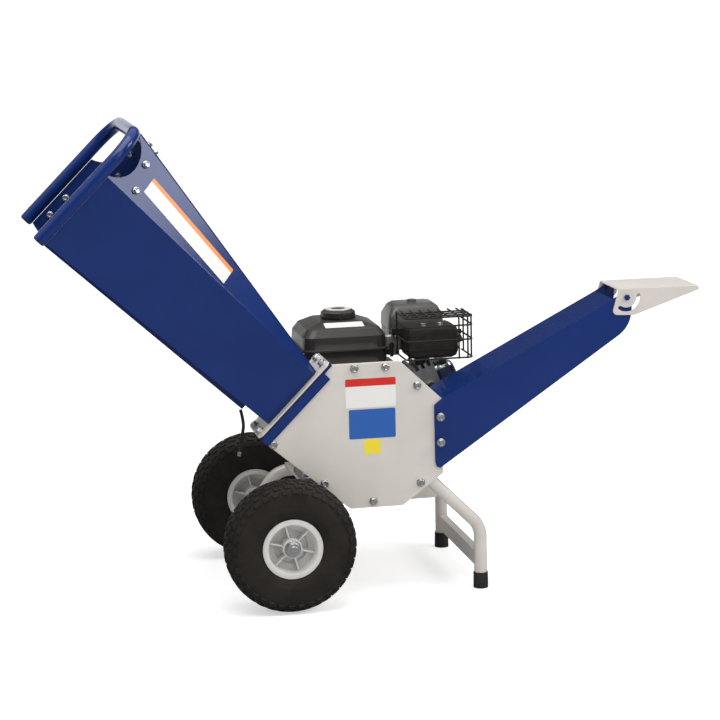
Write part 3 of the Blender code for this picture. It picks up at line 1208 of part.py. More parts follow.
def build_muffler():
    """Pressed muffler box with its crimped seam and ribs, and its pipe on the head."""
    x0, x1, y0, y1, z0, z1 = MUFFLER
    loops = []
    for y, inset in ((y0, 0.008), (y0 + 0.003, 0.003), (y0 + 0.010, 0.0), (y1 - 0.010, 0.0), (y1, 0.007)):
        a0, a1, c0, c1 = x0 + inset, x1 - inset, z0 + inset, z1 - inset
        outline = rounded([(a0, c0, 0.014), (a0, c1, 0.012), (a1, c1, 0.012), (a1, c0, 0.014)], 2)
        loops.append([(x, y, z) for x, z in outline])
    muffler = add_object("muffler", lofted(loops), ENGINE_BLACK)
    seam, lip = z0 + 0.018, 0.0025
    crimp = [level_loop(x0 - lip, x1 + lip, y0 - lip, y1 - 0.003, z, 0.014) for z in (seam, seam + 0.003)]
    join(muffler, lofted(crimp), "crimp")
    ribs = bmesh.new()
    for index in range(5):
        x = x0 + (x1 - x0) * (index + 1) / 6
        outline = [(x - 0.0035, 0), (x + 0.0035, 0), (x + 0.002, -0.0015), (x - 0.002, -0.0015)]
        lofted([[(a, y0 + 0.001 + b, z) for a, b in outline] for z in (seam + 0.006, z1 - 0.014)], ribs)
    join(muffler, ribs, "ribs")
    top = along_cylinder(PORT_DISTANCE, HEAD_FIN)
    port_y = BARREL_NEAR_Y + 0.012
    join(muffler, rod((top[0], port_y, top[1] - 0.008), (top[0], port_y, z0 + 0.004), 0.011, 14), "pipe")
    cut(muffler, head_top_space(port_y - 0.022, port_y + 0.048), "seat")
    outlet = (y0 + 0.026, z0 + 0.032)
    join(muffler, rod((x1 - 0.004, *outlet), (x1 + 0.011, outlet[0], outlet[1] + 0.004), 0.008, 14), "outlet")


def build_guard():
    """Wire guard: rows that wrap three sides, upright wires at the ends, a grid on top and a strap behind."""
    wire = GUARD_WIRE
    left, right, near = GUARD_LEFT, GUARD_RIGHT, GUARD_NEAR
    far = MUFFLER[3] + GAP + wire
    low, high = GUARD_ROWS[0], GUARD_ROWS[-1]
    guard = None
    for index, z in enumerate(GUARD_ROWS):
        corners = [(left, far, z), (left, near, z), (right, near, z), (right, far, z)]
        ring = swept(bent_path(corners, 0.010, 2), wire, sides=GUARD_SIDES)
        if guard is None:
            guard = add_object("muffler_guard", ring, ENGINE_BLACK)
        else:
            join(guard, ring, f"row_{index}")
    front = near - wire * 0.6
    top = high + wire * 0.6
    for index, x in enumerate((right - 0.029, right - 0.011)):
        corners = [(x, front, low - wire), (x, front, top), (x, far - 0.002, top)]
        join(guard, swept(bent_path(corners, 0.006, 1), wire, sides=GUARD_SIDES), f"upright_{index}")
    for index in range(GUARD_TOP_BARS):
        x = left + (right - 0.040 - left) * (index + 0.5) / GUARD_TOP_BARS
        bar = swept([Vector((x, near - wire, top)), Vector((x, far - 0.002, top))], wire, sides=GUARD_SIDES)
        join(guard, bar, f"bar_{index}")
    posts = [(left - wire * 0.6, far - 0.012), (right + wire * 0.6, near + 0.018),
             (right + wire * 0.6, near + 0.046), (right + wire * 0.6, far - 0.012)]
    for index, (x, y) in enumerate(posts):
        post = swept([Vector((x, y, low - wire)), Vector((x, y, high + wire))], wire, sides=GUARD_SIDES)
        join(guard, post, f"post_{index}")
    for index, y in enumerate((near + 0.022, near + 0.046, near + 0.070)):
        cross = swept([Vector((left, y, high)), Vector((right, y, high))], wire, sides=GUARD_SIDES)
        join(guard, cross, f"cross_{index}")
    y = MUFFLER[3] + GAP
    join(guard, block((left, y, GUARD_ROWS[1] - 0.005), (right, y + 0.003, GUARD_ROWS[1] + 0.005)), "strap")


def tank_loops(wall):
    """Loops of the fuel tank from its bottom to its flat top, drawn in by a wall."""
    x0, x1, y0, y1, z0, z1 = TANK
    loops = []
    for z, side, near, far, radius in ((z0 + wall, 0.008, 0.008, 0.008, 0.018), (z0 + 0.009, 0, 0, 0, 0.022),
                                       (z1 - 0.024, 0.003, 0.002, 0.002, 0.022),
                                       (z1 - 0.009, 0.014, 0.011, 0.010, 0.020),
                                       (z1 - wall, 0.042, 0.050, 0.016, 0.014)):
        side, near, far = side + wall, near + wall, far + wall
        loops.append(level_loop(x0 + side, x1 - side, y0 + near, y1 - far, z, radius, 3))
    return loops


def build_fuel():
    """Fuel tank with seam and neck, its cap, and the bracket that carries it."""
    x0, x1, y0, y1, z0, z1 = TANK
    tank = add_object("fuel_tank", lofted(tank_loops(0.0)), PLASTIC_BLACK)
    seam, lip = z0 + TANK_SEAM, TANK_LIP
    rim = [level_loop(x0 - lip, x1 + lip, y0 - lip, y1 + lip, z, 0.026, 3) for z in (seam, seam + 0.004)]
    join(tank, lofted(rim), "seam")
    cx, cy = TANK_CAP
    neck, mouth = TANK_NECK_RADIUS, TANK_NECK_RADIUS - 0.004
    join(tank, rod((cx, cy, z1 - 0.006), (cx, cy, z1 + 0.006), neck, 24), "neck")
    cut(tank, lofted(tank_loops(TANK_WALL)), "inside")
    cut(tank, rod((cx, cy, z1 - 0.020), (cx, cy, z1 + 0.02), mouth, 24), "neck_hole")
    face = z1 + 0.006 + GAP
    base = z1 + GAP + 0.0005
    radius, height = FUEL_CAP_RADIUS, FUEL_CAP_HEIGHT
    crown = base + height
    profile = [(0, crown), (radius - 0.008, crown - 0.001), (radius - 0.001, crown - 0.006),
               (radius, base + 0.004), (radius - 0.001, base), (neck + GAP, base), (neck + GAP, face),
               (0, face)]
    cap = add_object("fuel_cap", turned(profile, 24, (cx, cy, 0), (0, 0, 1)), PLASTIC_BLACK, (cx, cy, base))
    grips = bmesh.new()
    for index in range(8):
        angle = 2 * math.pi * index / 8
        spot = (cx + (radius + 0.0035) * math.cos(angle), cy + (radius + 0.0035) * math.sin(angle))
        rod((*spot, base - 0.002), (*spot, base + 0.03), 0.006, 6, bm=grips)
    cut(cap, grips, "grips")
    low, high, sheet = CASE_TOP + GAP, z0 - GAP, 0.003
    left, right, foot = SHAFT_X - 0.046, SHAFT_X + 0.046, 0.018
    hat = [(left - foot, low), (left + sheet, low), (left + sheet, high - sheet), (right - sheet, high - sheet),
           (right - sheet, low), (right + foot, low), (right + foot, low + sheet), (right, low + sheet),
           (right, high), (left, high), (left, low + sheet), (left - foot, low + sheet)]
    add_object("tank_bracket", prism(hat, CASE_NEAR_Y + 0.044, CASE_NEAR_Y + 0.104), ENGINE_BLACK)


def build_intake():
    """Carburettor with its manifold and float bowl, and its choke and fuel levers."""
    x0, x1, y0, y1, z0, z1 = CARB
    carb = add_object("carburettor", block((x0, y0, z0), (x1, y1, z1), 0.003, 1), CAST_ALUMINIUM)
    middle = ((x0 + x1) / 2, (y0 + y1) / 2)
    join(carb, rod((*middle, z0 - 0.010), (*middle, z0 + 0.004), 0.0142, 14), "bowl")
    head_x, head_z = along_cylinder(PORT_DISTANCE, HEAD_FIN)
    port = [Vector((x1 - 0.006, middle[1], z0 + 0.016)), Vector((head_x, middle[1], z0 + 0.016)),
            Vector((head_x, middle[1], head_z - 0.008))]
    join(carb, swept(bent_path(port, 0.016, 3), 0.0095, sides=10), "manifold")
    cut(carb, head_top_space(middle[1] - 0.02, middle[1] + 0.02), "seat")
    pin = 0.003
    x, y = middle[0], middle[1] + 0.004
    cut(carb, rod((x, y, z1 - 0.012), (x, y, z1 + 0.01), pin + GAP, 12), "choke_hole")
    profile = [(0, z1 - 0.010), (pin, z1 - 0.010), (pin, z1 + GAP), (0.0065, z1 + GAP), (0.0065, z1 + 0.0045),
               (0, z1 + 0.0045)]
    choke = add_object("choke_lever", turned(profile, 12, (x, y, 0), (0, 0, 1)), PLASTIC_BLACK, (x, y, z1))
    join(choke, block((x - 0.0035, y - 0.020, z1 + 0.001), (x + 0.0035, y + 0.002, z1 + 0.004)), "arm")
    join(choke, block((x - 0.006, y - 0.024, z1 + 0.001), (x + 0.006, y - 0.018, z1 + 0.014)), "tab")
    x, z = x0 + 0.012, z0 + 0.012
    cut(carb, rod((x, y0 - 0.01, z), (x, y0 + 0.010, z), pin + GAP, 12), "valve_hole")
    profile = [(0, y0 + 0.008), (pin, y0 + 0.008), (pin, y0 - GAP), (0.006, y0 - GAP), (0.006, y0 - 0.005),
               (0, y0 - 0.005)]
    valve = add_object("fuel_valve_lever", turned(profile, 12, (x, 0, z)), PLASTIC_BLACK, (x, y0, z))
    join(valve, block((x - 0.0034, y0 - 0.0045, z - 0.024), (x + 0.0034, y0 - 0.001, z + 0.002)), "arm")


def cleaner_loops(wall, start):
    """Loops of the air cleaner cover: upright sides and sloped shoulders round a flat top."""
    x0, x1, y0, y1, _, z1, _ = AIR_CLEANER
    loops = []
    for z, side in ((start, -0.002), (z1 - 0.024, -0.001), (z1 - 0.006 - wall, 0.008), (z1 - wall, 0.016)):
        inset = side + wall
        loops.append(level_loop(x0 + inset, x1 - inset, y0 + inset, y1 - inset, z, 0.012))
    return loops


def build_air_cleaner():
    """Two-part air cleaner with its nut, and the element inside."""
    x0, x1, y0, y1, z0, z1, split = AIR_CLEANER
    wall = 0.003
    base = add_object("air_cleaner_base", block((x0, y0, z0), (x1, y1, split + 0.012), 0.008, 2), PLASTIC_BLACK)
    low, high = (x0 + wall, y0 + wall, z0 + wall), (x1 - wall, y1 - wall, split + 0.02)
    cut(base, block(low, high, 0.006, 1), "inside")
    cut(base, block((x0 - 0.01, y0 - 0.01, split), (x1 + 0.01, y1 + 0.01, split + 0.03)), "rim")
    cover = add_object("air_cleaner_cover", lofted(cleaner_loops(0.0, split + GAP)), PLASTIC_BLACK)
    cut(cover, lofted(cleaner_loops(wall, split - 0.02)), "inside")
    knob = [(0, z1 - 0.002), (0.010, z1 - 0.002), (0.010, z1 + 0.005), (0, z1 + 0.006)]
    join(cover, turned(knob, 12, ((x0 + x1) / 2, (y0 + y1) / 2, 0), (0, 0, 1)), "nut")
    element = block((x0 + 0.014, y0 + 0.014, z0 + wall + GAP), (x1 - 0.014, y1 - 0.014, z1 - 0.028), 0.010, 2)
    add_object("air_filter", element, RUBBER)


def build_controls():
    """Engine switch and throttle lever on the fan housing, oil filler cap, drain plug and ignition coil."""
    shroud = bpy.data.objects["fan_shroud"]
    face = SHROUD_FAR_Y
    x, z = along_cylinder(SHROUD_REACH - 0.026, 0.0)
    pin = 0.008
    cut(shroud, rod((x, face - 0.02, z), (x, face + 0.01, z), pin + GAP, 16), "switch_hole")
    profile = [(0, -0.012), (pin, -0.012), (pin, GAP), (0.015, GAP), (0.015, 0.005), (0, 0.005)]
    knob = add_object("engine_switch", turned(profile, 20, (x, face, z)), PLASTIC_BLACK, (x, face, z))
    low, high = (x - 0.0035, face + 0.003, z - 0.012), (x + 0.0035, face + 0.015, z + 0.012)
    join(knob, block(low, high, 0.001, 1), "grip")
    start_at, start_off = SHROUD_RADIUS * math.cos(SHROUD_OPENING), SHROUD_RADIUS * math.sin(SHROUD_OPENING)
    ridge_start = Vector(along_cylinder(start_at, start_off))
    ridge_end = Vector(along_cylinder(SHROUD_REACH, SHROUD_TAIL))
    ridge = (ridge_end - ridge_start).normalized()
    slope = math.atan2(ridge.y, ridge.x)
    normal = Vector((-math.sin(slope), 0, math.cos(slope)))
    top = ridge_end - ridge * 0.030
    stand = Vector((top.x, face - 0.022, top.y))
    pin = 0.003
    cut(shroud, rod(stand - normal * 0.02, stand + normal * 0.01, pin + GAP, 12), "throttle_hole")
    seat = GAP + 0.0006
    profile = [(0, -0.010), (pin, -0.010), (pin, seat), (0.007, seat), (0.007, 0.004), (0, 0.004)]
    lever = add_object("throttle_lever", turned(profile, 12, stand, normal), PLASTIC_BLACK, stand)
    place = Matrix.Translation(stand) @ Matrix.Rotation(-slope, 4, 'Y')
    for low, high, label in (((-0.003, -0.002, 0.001), (0.003, 0.042, 0.0035), "arm"),
                             ((-0.005, 0.036, 0.001), (0.005, 0.044, 0.013), "tab")):
        body = block(low, high)
        bmesh.ops.transform(body, matrix=place, verts=body.verts)
        join(lever, body, label)
    left, y, z = SHAFT_X - CASE_HALF_WIDTH, OIL_CAP_Y, OIL_CAP_Z
    stem = OIL_CAP_RADIUS - 0.0005
    profile = [(0, 0.022), (stem, 0.022), (stem, -GAP), (0.014, -GAP), (0.014, -0.008), (0, -0.008)]
    centre = (left, y, z)
    cap = add_object("oil_filler_cap", turned(profile, 16, centre, (1, 0, 0)), PLASTIC_BLACK, centre)
    low, high = (left - 0.016, y - 0.003, z - 0.012), (left - 0.006, y + 0.003, z + 0.012)
    join(cap, block(low, high, 0.001, 1), "wing")
    spot = (SHAFT_X + CASE_HALF_WIDTH, OIL_CAP_Y - 0.020, PLATFORM_TOP + 0.024)
    profile = [(0, -0.003), (0.009, -0.003), (0.009, 0.007), (0, 0.007)]
    join(bpy.data.objects["crankcase"], turned(profile, 6, spot, (1, 0, 0)), "drain_plug")
    y = CASE_FAR_Y + 0.001 + GAP
    low, high = SHAFT_Z + FLYWHEEL_RADIUS + 0.0015, SHAFT_Z + SHROUD_RADIUS - 0.006
    add_object("ignition_coil", block((SHAFT_X - 0.016, y, low), (SHAFT_X + 0.016, y + 0.020, high), 0.002, 1),
               PLASTIC_BLACK)


def report_origin():
    """Move the machine so that the origin is under the middle of its bounding box."""
    bpy.context.view_layer.update()
    graph = bpy.context.evaluated_depsgraph_get()
    low = Vector((1e9, 1e9, 1e9))
    high = -low
    for piece in bpy.data.objects:
        if piece.type != 'MESH' or piece.hide_render:
            continue
        shown = piece.evaluated_get(graph)
        for vert in shown.data.vertices:
            spot = shown.matrix_world @ vert.co
            low = Vector(map(min, low, spot))
            high = Vector(map(max, high, spot))
    ROOT.location = (-(low.x + high.x) / 2, -(low.y + high.y) / 2, -low.z)
    print("origin shift", [round(value, 6) for value in ROOT.location])
    print("size", [round(value, 4) for value in high - low])


for wheel_side, wheel_label in ((-1, "near"), (1, "far")):
    build_wheel(wheel_side, wheel_label)
build_axle()
build_far_tube()
build_near_tubes()
build_feet()
build_crossbar()
build_platform()
build_housing()
inlet_frame = build_inlet()
hopper_flange_start = build_flanges(inlet_frame)
build_hopper(hopper_flange_start)
chute_body = build_chute()
build_deflector(chute_body)
build_drum()
build_crankcase()
build_crankshaft()
build_flywheel()
build_shroud()
build_head()
build_muffler()
build_guard()
build_fuel()
build_intake()
build_air_cleaner()
build_controls()
report_origin()
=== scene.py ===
# %% [markdown]
# # A petrol garden shredder, dressed for a studio picture
#
# The machine arrives as a imported frame of plain solids, one for each real piece. The cells below
# give each piece its finish, model the small things that the solids leave out, and set the camera
# where the photographer stood.

import json
import math

import bmesh
import bpy
from mathutils import Matrix, Vector

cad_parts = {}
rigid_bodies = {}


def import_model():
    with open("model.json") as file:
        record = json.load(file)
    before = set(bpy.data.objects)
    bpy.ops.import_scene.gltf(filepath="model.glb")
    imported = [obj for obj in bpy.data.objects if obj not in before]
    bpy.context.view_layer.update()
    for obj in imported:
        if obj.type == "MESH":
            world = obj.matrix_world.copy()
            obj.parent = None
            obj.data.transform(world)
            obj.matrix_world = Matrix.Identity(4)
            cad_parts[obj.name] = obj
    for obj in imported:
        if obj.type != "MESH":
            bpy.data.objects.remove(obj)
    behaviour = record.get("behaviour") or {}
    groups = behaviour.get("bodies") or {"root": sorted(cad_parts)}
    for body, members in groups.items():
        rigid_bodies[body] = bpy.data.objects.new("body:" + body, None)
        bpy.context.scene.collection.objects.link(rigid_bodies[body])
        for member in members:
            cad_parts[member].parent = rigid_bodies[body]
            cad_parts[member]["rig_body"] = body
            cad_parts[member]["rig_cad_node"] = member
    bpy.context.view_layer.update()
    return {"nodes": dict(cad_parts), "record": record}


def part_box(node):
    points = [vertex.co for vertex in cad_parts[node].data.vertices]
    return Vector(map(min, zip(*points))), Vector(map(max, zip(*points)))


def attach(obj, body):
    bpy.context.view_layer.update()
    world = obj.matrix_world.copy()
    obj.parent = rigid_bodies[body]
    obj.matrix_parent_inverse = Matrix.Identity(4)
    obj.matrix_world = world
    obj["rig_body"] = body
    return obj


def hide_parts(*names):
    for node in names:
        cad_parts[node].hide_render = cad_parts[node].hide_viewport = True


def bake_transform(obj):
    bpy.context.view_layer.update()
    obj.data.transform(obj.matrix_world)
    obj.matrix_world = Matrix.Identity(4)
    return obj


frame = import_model()
record = frame["record"]
body_of_node = {node: body for body, nodes in record["behaviour"]["bodies"].items() for node in nodes}
slot_of_node = {entry["node"]: entry["material_slot"] for entry in record["subparts"]}
print("nodes:", len(frame["nodes"]))

# %% [markdown]
# The real machine is easiest to think about from its wheels: the axle, the middle between the two
# wheels, and the ground. This cell finds that corner of the frame, so that every later size can be
# written as it would be measured on the machine, in metres.

# %% Measure from the axle
near_low, near_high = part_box("tyre_near")
far_low, far_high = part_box("tyre_far")
AXLE_X = (near_low.x + near_high.x) / 2
MIDDLE_Y = (near_low.y + far_high.y) / 2
AXLE_Z = (near_low.z + near_high.z) / 2


def on_machine(x, y, z):
    """Point measured from the axle, the middle of the wheels and the ground."""
    return Vector((x + AXLE_X, y + MIDDLE_Y, z))


print("axle at", round(AXLE_X, 4), round(AXLE_Z, 4))

# %% [markdown]
# The picture was taken with a long lens, a little left of the machine and a little above it, and
# the camera leaned by about a degree. A long lens keeps the near and the far wheel almost the same
# size, which is why it is chosen here instead of a wide one that stands closer.

# %% Camera
LENS = 120.0
CAMERA_PLACE = (-0.9532, -4.6618, 1.3141)
HEADING = math.radians(11.575)
PITCH = math.radians(10.313)
LEAN = math.radians(1.187)


def in_scene(name, data):
    """New object of the scene that shows some data."""
    thing = bpy.data.objects.new(name, data)
    bpy.context.scene.collection.objects.link(thing)
    return thing


camera_data = bpy.data.cameras.new("camera")
camera_data.lens = LENS
camera_data.sensor_width = 36.0
camera = in_scene("camera", camera_data)
camera.matrix_world = (Matrix.Translation(CAMERA_PLACE) @ Matrix.Rotation(-HEADING, 4, 'Z')
                       @ Matrix.Rotation(math.pi / 2 - PITCH, 4, 'X') @ Matrix.Rotation(-LEAN, 4, 'Z'))
bpy.context.scene.camera = camera
bpy.context.scene.view_settings.view_transform = 'Standard'

# %% [markdown]
# A studio floor is one wide pale sheet. The machine stands under a big soft lamp, with a weaker one
# in front and one high at its side that shines along the leaning panels. The floor shows white to
# the lens, while the light on the machine stays moderate, so pale paint keeps its colour. In gloss
# the room is dim near the horizon, which keeps dark paint dark, and bright in two places: overhead,
# and in a low band behind the machine, where a white wall meets the floor.

# %% Floor, room and lamps
FLOOR_SIZE = 120.0
FLOOR_SHADE = 0.80
FLOOR_SHADE_IN_GLOSS = 0.25
ROOM_LIGHT = 0.52
GLOSS_AT_HORIZON = 0.06
GLOSS_OVERHEAD = 1.0
GLOSS_OF_WALL = 0.9
CEILING_RISES = (0.35, 0.75)
WALL_FADES = (0.14, 0.22)
WALL_BEHIND = (0.70, 0.90)
FLOOR_GLOW = (0.50, 0.64)
FLOOR_GLOW_REACH = (0.8, 3.5)
GLOSSY_FLOOR_REACH = (1.0, 3.0)


def tone_nodes(tree, plain, seen, glossy):
    """Strength that is 'seen' for the lens, 'glossy' in reflections and 'plain' as light."""
    link = tree.links.new
    path = tree.nodes.new('ShaderNodeLightPath')
    gloss = tree.nodes.new('ShaderNodeMath')
    gloss.operation = 'MAXIMUM'
    link(path.outputs['Is Glossy Ray'], gloss.inputs[0])
    link(path.outputs['Is Transmission Ray'], gloss.inputs[1])
    first = tree.nodes.new('ShaderNodeMix')
    first.inputs['A'].default_value = plain
    link(glossy, first.inputs['B'])
    link(gloss.outputs[0], first.inputs['Factor'])
    second = tree.nodes.new('ShaderNodeMix')
    if isinstance(seen, float):
        second.inputs['B'].default_value = seen
    else:
        link(seen, second.inputs['B'])
    link(path.outputs['Is Camera Ray'], second.inputs['Factor'])
    link(first.outputs['Result'], second.inputs['A'])
    return second.outputs['Result']


def set_sockets(node, **levels):
    """Set sockets of a node by name, with underscores for spaces."""
    for socket, level in levels.items():
        node.inputs[socket.replace("_", " ")].default_value = level


def ramp(tree, value, reach, levels, rise_type='SMOOTHSTEP'):
    """Value that goes from one level to another over a reach, smoothly unless told otherwise."""
    rise = tree.nodes.new('ShaderNodeMapRange')
    rise.interpolation_type = rise_type
    set_sockets(rise, From_Min=reach[0], From_Max=reach[1], To_Min=levels[0], To_Max=levels[1])
    tree.links.new(value, rise.inputs['Value'])
    return rise.outputs['Result']


world = bpy.data.worlds.new("studio")
bpy.context.scene.world = world
world.use_nodes = True
room = world.node_tree.nodes["Background"]
room.inputs["Color"].default_value = (1, 1, 1, 1)
sky = world.node_tree
way = sky.nodes.new('ShaderNodeTexCoord')
parts = sky.nodes.new('ShaderNodeSeparateXYZ')
sky.links.new(way.outputs['Generated'], parts.inputs['Vector'])
ceiling = ramp(sky, parts.outputs['Z'], CEILING_RISES, (GLOSS_AT_HORIZON, GLOSS_OVERHEAD))
wall = ramp(sky, parts.outputs['Z'], WALL_FADES, (GLOSS_OF_WALL, 0.0))
behind = ramp(sky, parts.outputs['Y'], WALL_BEHIND, (0.0, 1.0))
in_gloss = sky.nodes.new('ShaderNodeMath')
in_gloss.operation = 'MULTIPLY_ADD'
for index, level in enumerate((wall, behind, ceiling)):
    sky.links.new(level, in_gloss.inputs[index])
sky.links.new(tone_nodes(sky, ROOM_LIGHT, 1.0, in_gloss.outputs[0]), room.inputs["Strength"])

bpy.ops.object.select_all(action='DESELECT')
bpy.ops.mesh.primitive_plane_add(size=FLOOR_SIZE, location=(0, 0, -0.0005))
floor = bpy.context.active_object
floor.name = "studio_floor"
floor_paint = bpy.data.materials.new("floor_paint")
floor_paint.use_nodes = True
tree = floor_paint.node_tree
nodes = tree.nodes
links = tree.links
paint = nodes["Principled BSDF"]
in_mirror = nodes.new('ShaderNodeLightPath').outputs['Is Glossy Ray']
shade = ramp(tree, in_mirror, (0.0, 1.0), (FLOOR_SHADE, FLOOR_SHADE_IN_GLOSS))
links.new(shade, paint.inputs["Base Color"])
set_sockets(paint, Roughness=0.9, Specular_IOR_Level=0.0)
glow = nodes.new('ShaderNodeEmission')
both = nodes.new('ShaderNodeAddShader')
spot = nodes.new('ShaderNodeTexCoord').outputs['Object']
distance = nodes.new('ShaderNodeVectorMath')
distance.operation = 'LENGTH'
links.new(spot, distance.inputs[0])
back = nodes.new('ShaderNodeSeparateXYZ')
links.new(spot, back.inputs[0])
seen_floor = ramp(tree, distance.outputs['Value'], FLOOR_GLOW_REACH, FLOOR_GLOW)
glossy_floor = ramp(tree, back.outputs['Y'], GLOSSY_FLOOR_REACH, (0.0, GLOSS_OF_WALL))
links.new(tone_nodes(tree, 0.0, seen_floor, glossy_floor), glow.inputs["Strength"])
links.new(paint.outputs[0], both.inputs[0])
links.new(glow.outputs[0], both.inputs[1])
links.new(both.outputs[0], nodes["Material Output"].inputs["Surface"])
floor.data.materials.append(floor_paint)


def soft_lamp(name, place, target, size, power):
    """Square soft box that faces a target."""
    data = bpy.data.lights.new(name, 'AREA')
    data.shape = 'SQUARE'
    data.size = size
    data.energy = power
    lamp = in_scene(name, data)
    lamp.location = place
    lamp.rotation_euler = (Vector(target) - Vector(place)).to_track_quat('-Z', 'Y').to_euler()


soft_lamp("lamp_over", (-0.5, -0.7, 3.0), (0, 0, 0.4), 2.4, 62)
soft_lamp("lamp_front", (0.8, -3.6, 1.7), (0, 0, 0.4), 1.6, 16)
soft_lamp("lamp_side", (2.35, -1.15, 2.05), (-0.4, -0.2, 0.75), 1.2, 30)

# %% [markdown]
# A short black cord hangs from the lower end of the seam under the hopper, and ends in a small
# crimped metal tip. A curve with a round bevel is what a cord is: a centre line and a thickness.
# The line is smoothed by the same rule as the plain solid that it stands for, with more points.

# %% Route of the cord under the hopper
FEED_CENTRE = (0.0285, 0.401)
FEED_SLOPE = math.radians(45)
HOUSING_MIDDLE = -0.1255
SEAM_END = (-0.0629, -0.082174)
CORD_RADIUS = 0.0032
CORD_POINTS = 33
CORD_GAP = 0.0003
CORD_TURNS = ((0, 0, 0), (0.003, 0, -0.014), (0.005, 0.001, -0.034), (0.001, 0.002, -0.058),
              (-0.005, 0.001, -0.092))


def on_feed(along, y, across):
    """Point of the hopper: along the feed, sideways from its middle, and across the feed."""
    cos, sin = math.cos(FEED_SLOPE), math.sin(FEED_SLOPE)
    return on_machine(FEED_CENTRE[0] + (along + across) * cos, HOUSING_MIDDLE + y,
                      FEED_CENTRE[1] + (across - along) * sin)


def smooth_route(route, count):
    """Evenly shared points of a smooth curve through the route's own points."""
    padded = [route[0] * 2 - route[1]] + route + [route[-1] * 2 - route[-2]]
    points = []
    for step in range(count):
        place = step / (count - 1) * (len(route) - 1)
        leg = min(int(place), len(route) - 2)
        t = place - leg
        a, b, c, d = padded[leg:leg + 4]
        points.append(0.5 * (2 * b + (c - a) * t + (2 * a - 5 * b + 4 * c - d) * t ** 2
                             + (3 * b - a - 3 * c + d) * t ** 3))
    return points


cord_exit = on_feed(SEAM_END[0], 0, SEAM_END[1]) - Vector((0, 0, CORD_GAP + CORD_RADIUS * 1.2))
cord_line = smooth_route([cord_exit + Vector(turn) for turn in CORD_TURNS], CORD_POINTS)

# %% [markdown]
# Every finish is a small network: a slow cloud of colour, so that a panel is never one flat value;
# a change of gloss from handling and dust; and a fine relief at the grain of the real surface. The
# patterns read the piece's own coordinates in metres, so their sizes are real sizes.

# %% How a finish is mixed
COLOUR_CLOUD = (0.35, 0.65)
GLOSS_CLOUD = (0.3, 0.7)
GLOSS_CLOUD_SCALE = 3.1
COAT_ROUGHNESS = 0.08


def cloud(tree, where, scale, detail, reach, levels):
    """Noise at a scale, stretched from one range of values to another."""
    noise = tree.nodes.new('ShaderNodeTexNoise')
    set_sockets(noise, Scale=scale, Detail=detail)
    tree.links.new(where, noise.inputs['Vector'])
    return ramp(tree, noise.outputs['Fac'], reach, levels, 'LINEAR')


def finish(name, colour, shade, gloss, metallic=0.0, clouds=9.0, grain=700.0, relief=0.05, depth=0.0002,
           cells=False, brushed=None, coat=0.0, specular=0.5):
    """Procedural finish: two colours, two roughness values, and a grain of a given scale and depth."""
    material = bpy.data.materials.new(name)
    material.use_nodes = True
    tree = material.node_tree
    link = tree.links.new
    shader = tree.nodes["Principled BSDF"]
    set_sockets(shader, Metallic=metallic, Coat_Weight=coat, Coat_Roughness=COAT_ROUGHNESS,
                Specular_IOR_Level=specular)
    where = tree.nodes.new('ShaderNodeTexCoord').outputs['Object']
    mix = tree.nodes.new('ShaderNodeMix')
    mix.data_type = 'RGBA'
    set_sockets(mix, A=(*colour, 1), B=(*shade, 1))
    link(cloud(tree, where, clouds, 4, COLOUR_CLOUD, (0, 1)), mix.inputs['Factor'])
    link(mix.outputs['Result'], shader.inputs['Base Color'])
    handling = cloud(tree, where, clouds * GLOSS_CLOUD_SCALE, 3, GLOSS_CLOUD, gloss)
    link(handling, shader.inputs['Roughness'])
    fine = where
    if brushed is not None:
        stretch = tree.nodes.new('ShaderNodeMapping')
        stretch.inputs['Scale'].default_value = brushed
        link(where, stretch.inputs['Vector'])
        fine = stretch.outputs['Vector']
    if cells:
        texture = tree.nodes.new('ShaderNodeTexVoronoi')
        height = texture.outputs['Distance']
    else:
        texture = tree.nodes.new('ShaderNodeTexNoise')
        texture.inputs['Detail'].default_value = 2
        height = texture.outputs['Fac']
    texture.inputs['Scale'].default_value = grain
    link(fine, texture.inputs['Vector'])
    bump = tree.nodes.new('ShaderNodeBump')
    set_sockets(bump, Strength=relief, Distance=depth)
    link(height, bump.inputs['Height'])
    link(bump.outputs['Normal'], shader.inputs['Normal'])
    return material


# %% [markdown]
# Each of the machine's ten materials has a finish, and two covers have one of their own. Silver
# and blue are powder coats, which dry with a slight orange peel. Fasteners are zinc plated, engine
# castings are grainy, covers are moulded with a fine leather grain, and the tyres are matt with a
# little dust in them. The rocker cover is polished and the air cleaner's cover is satin grey.

# %% The finishes of this machine
silver = finish("silver_powder_coat", (0.655, 0.615, 0.568), (0.605, 0.565, 0.522), (0.34, 0.44), 0.10,
                grain=520, relief=0.05, coat=0.10)
blue = finish("blue_powder_coat", (0.0055, 0.0235, 0.132), (0.0070, 0.0270, 0.148), (0.14, 0.17),
              grain=480, relief=0.03, specular=0.36)
tyre_rubber = finish("tyre_rubber", (0.0145, 0.0118, 0.0098), (0.0215, 0.0175, 0.0147), (0.58, 0.78),
                     clouds=22, grain=900, relief=0.30, specular=0.2)
rim_plastic = finish("rim_plastic", (0.640, 0.625, 0.605), (0.585, 0.570, 0.552), (0.36, 0.48),
                     clouds=20, grain=1500, relief=0.08, cells=True, specular=0.4)
soft_rubber = finish("soft_rubber", (0.018, 0.016, 0.0145), (0.026, 0.0235, 0.0215), (0.56, 0.74),
                     clouds=30, grain=1300, relief=0.20, specular=0.3)
zinc = finish("zinc_plate", (0.70, 0.72, 0.73), (0.58, 0.60, 0.60), (0.20, 0.36), 1.0,
              clouds=140, grain=800, relief=0.10)
bare_steel = finish("machined_steel", (0.42, 0.42, 0.43), (0.33, 0.33, 0.34), (0.24, 0.40), 1.0,
                    clouds=30, grain=900, relief=0.25, brushed=(1, 12, 1))
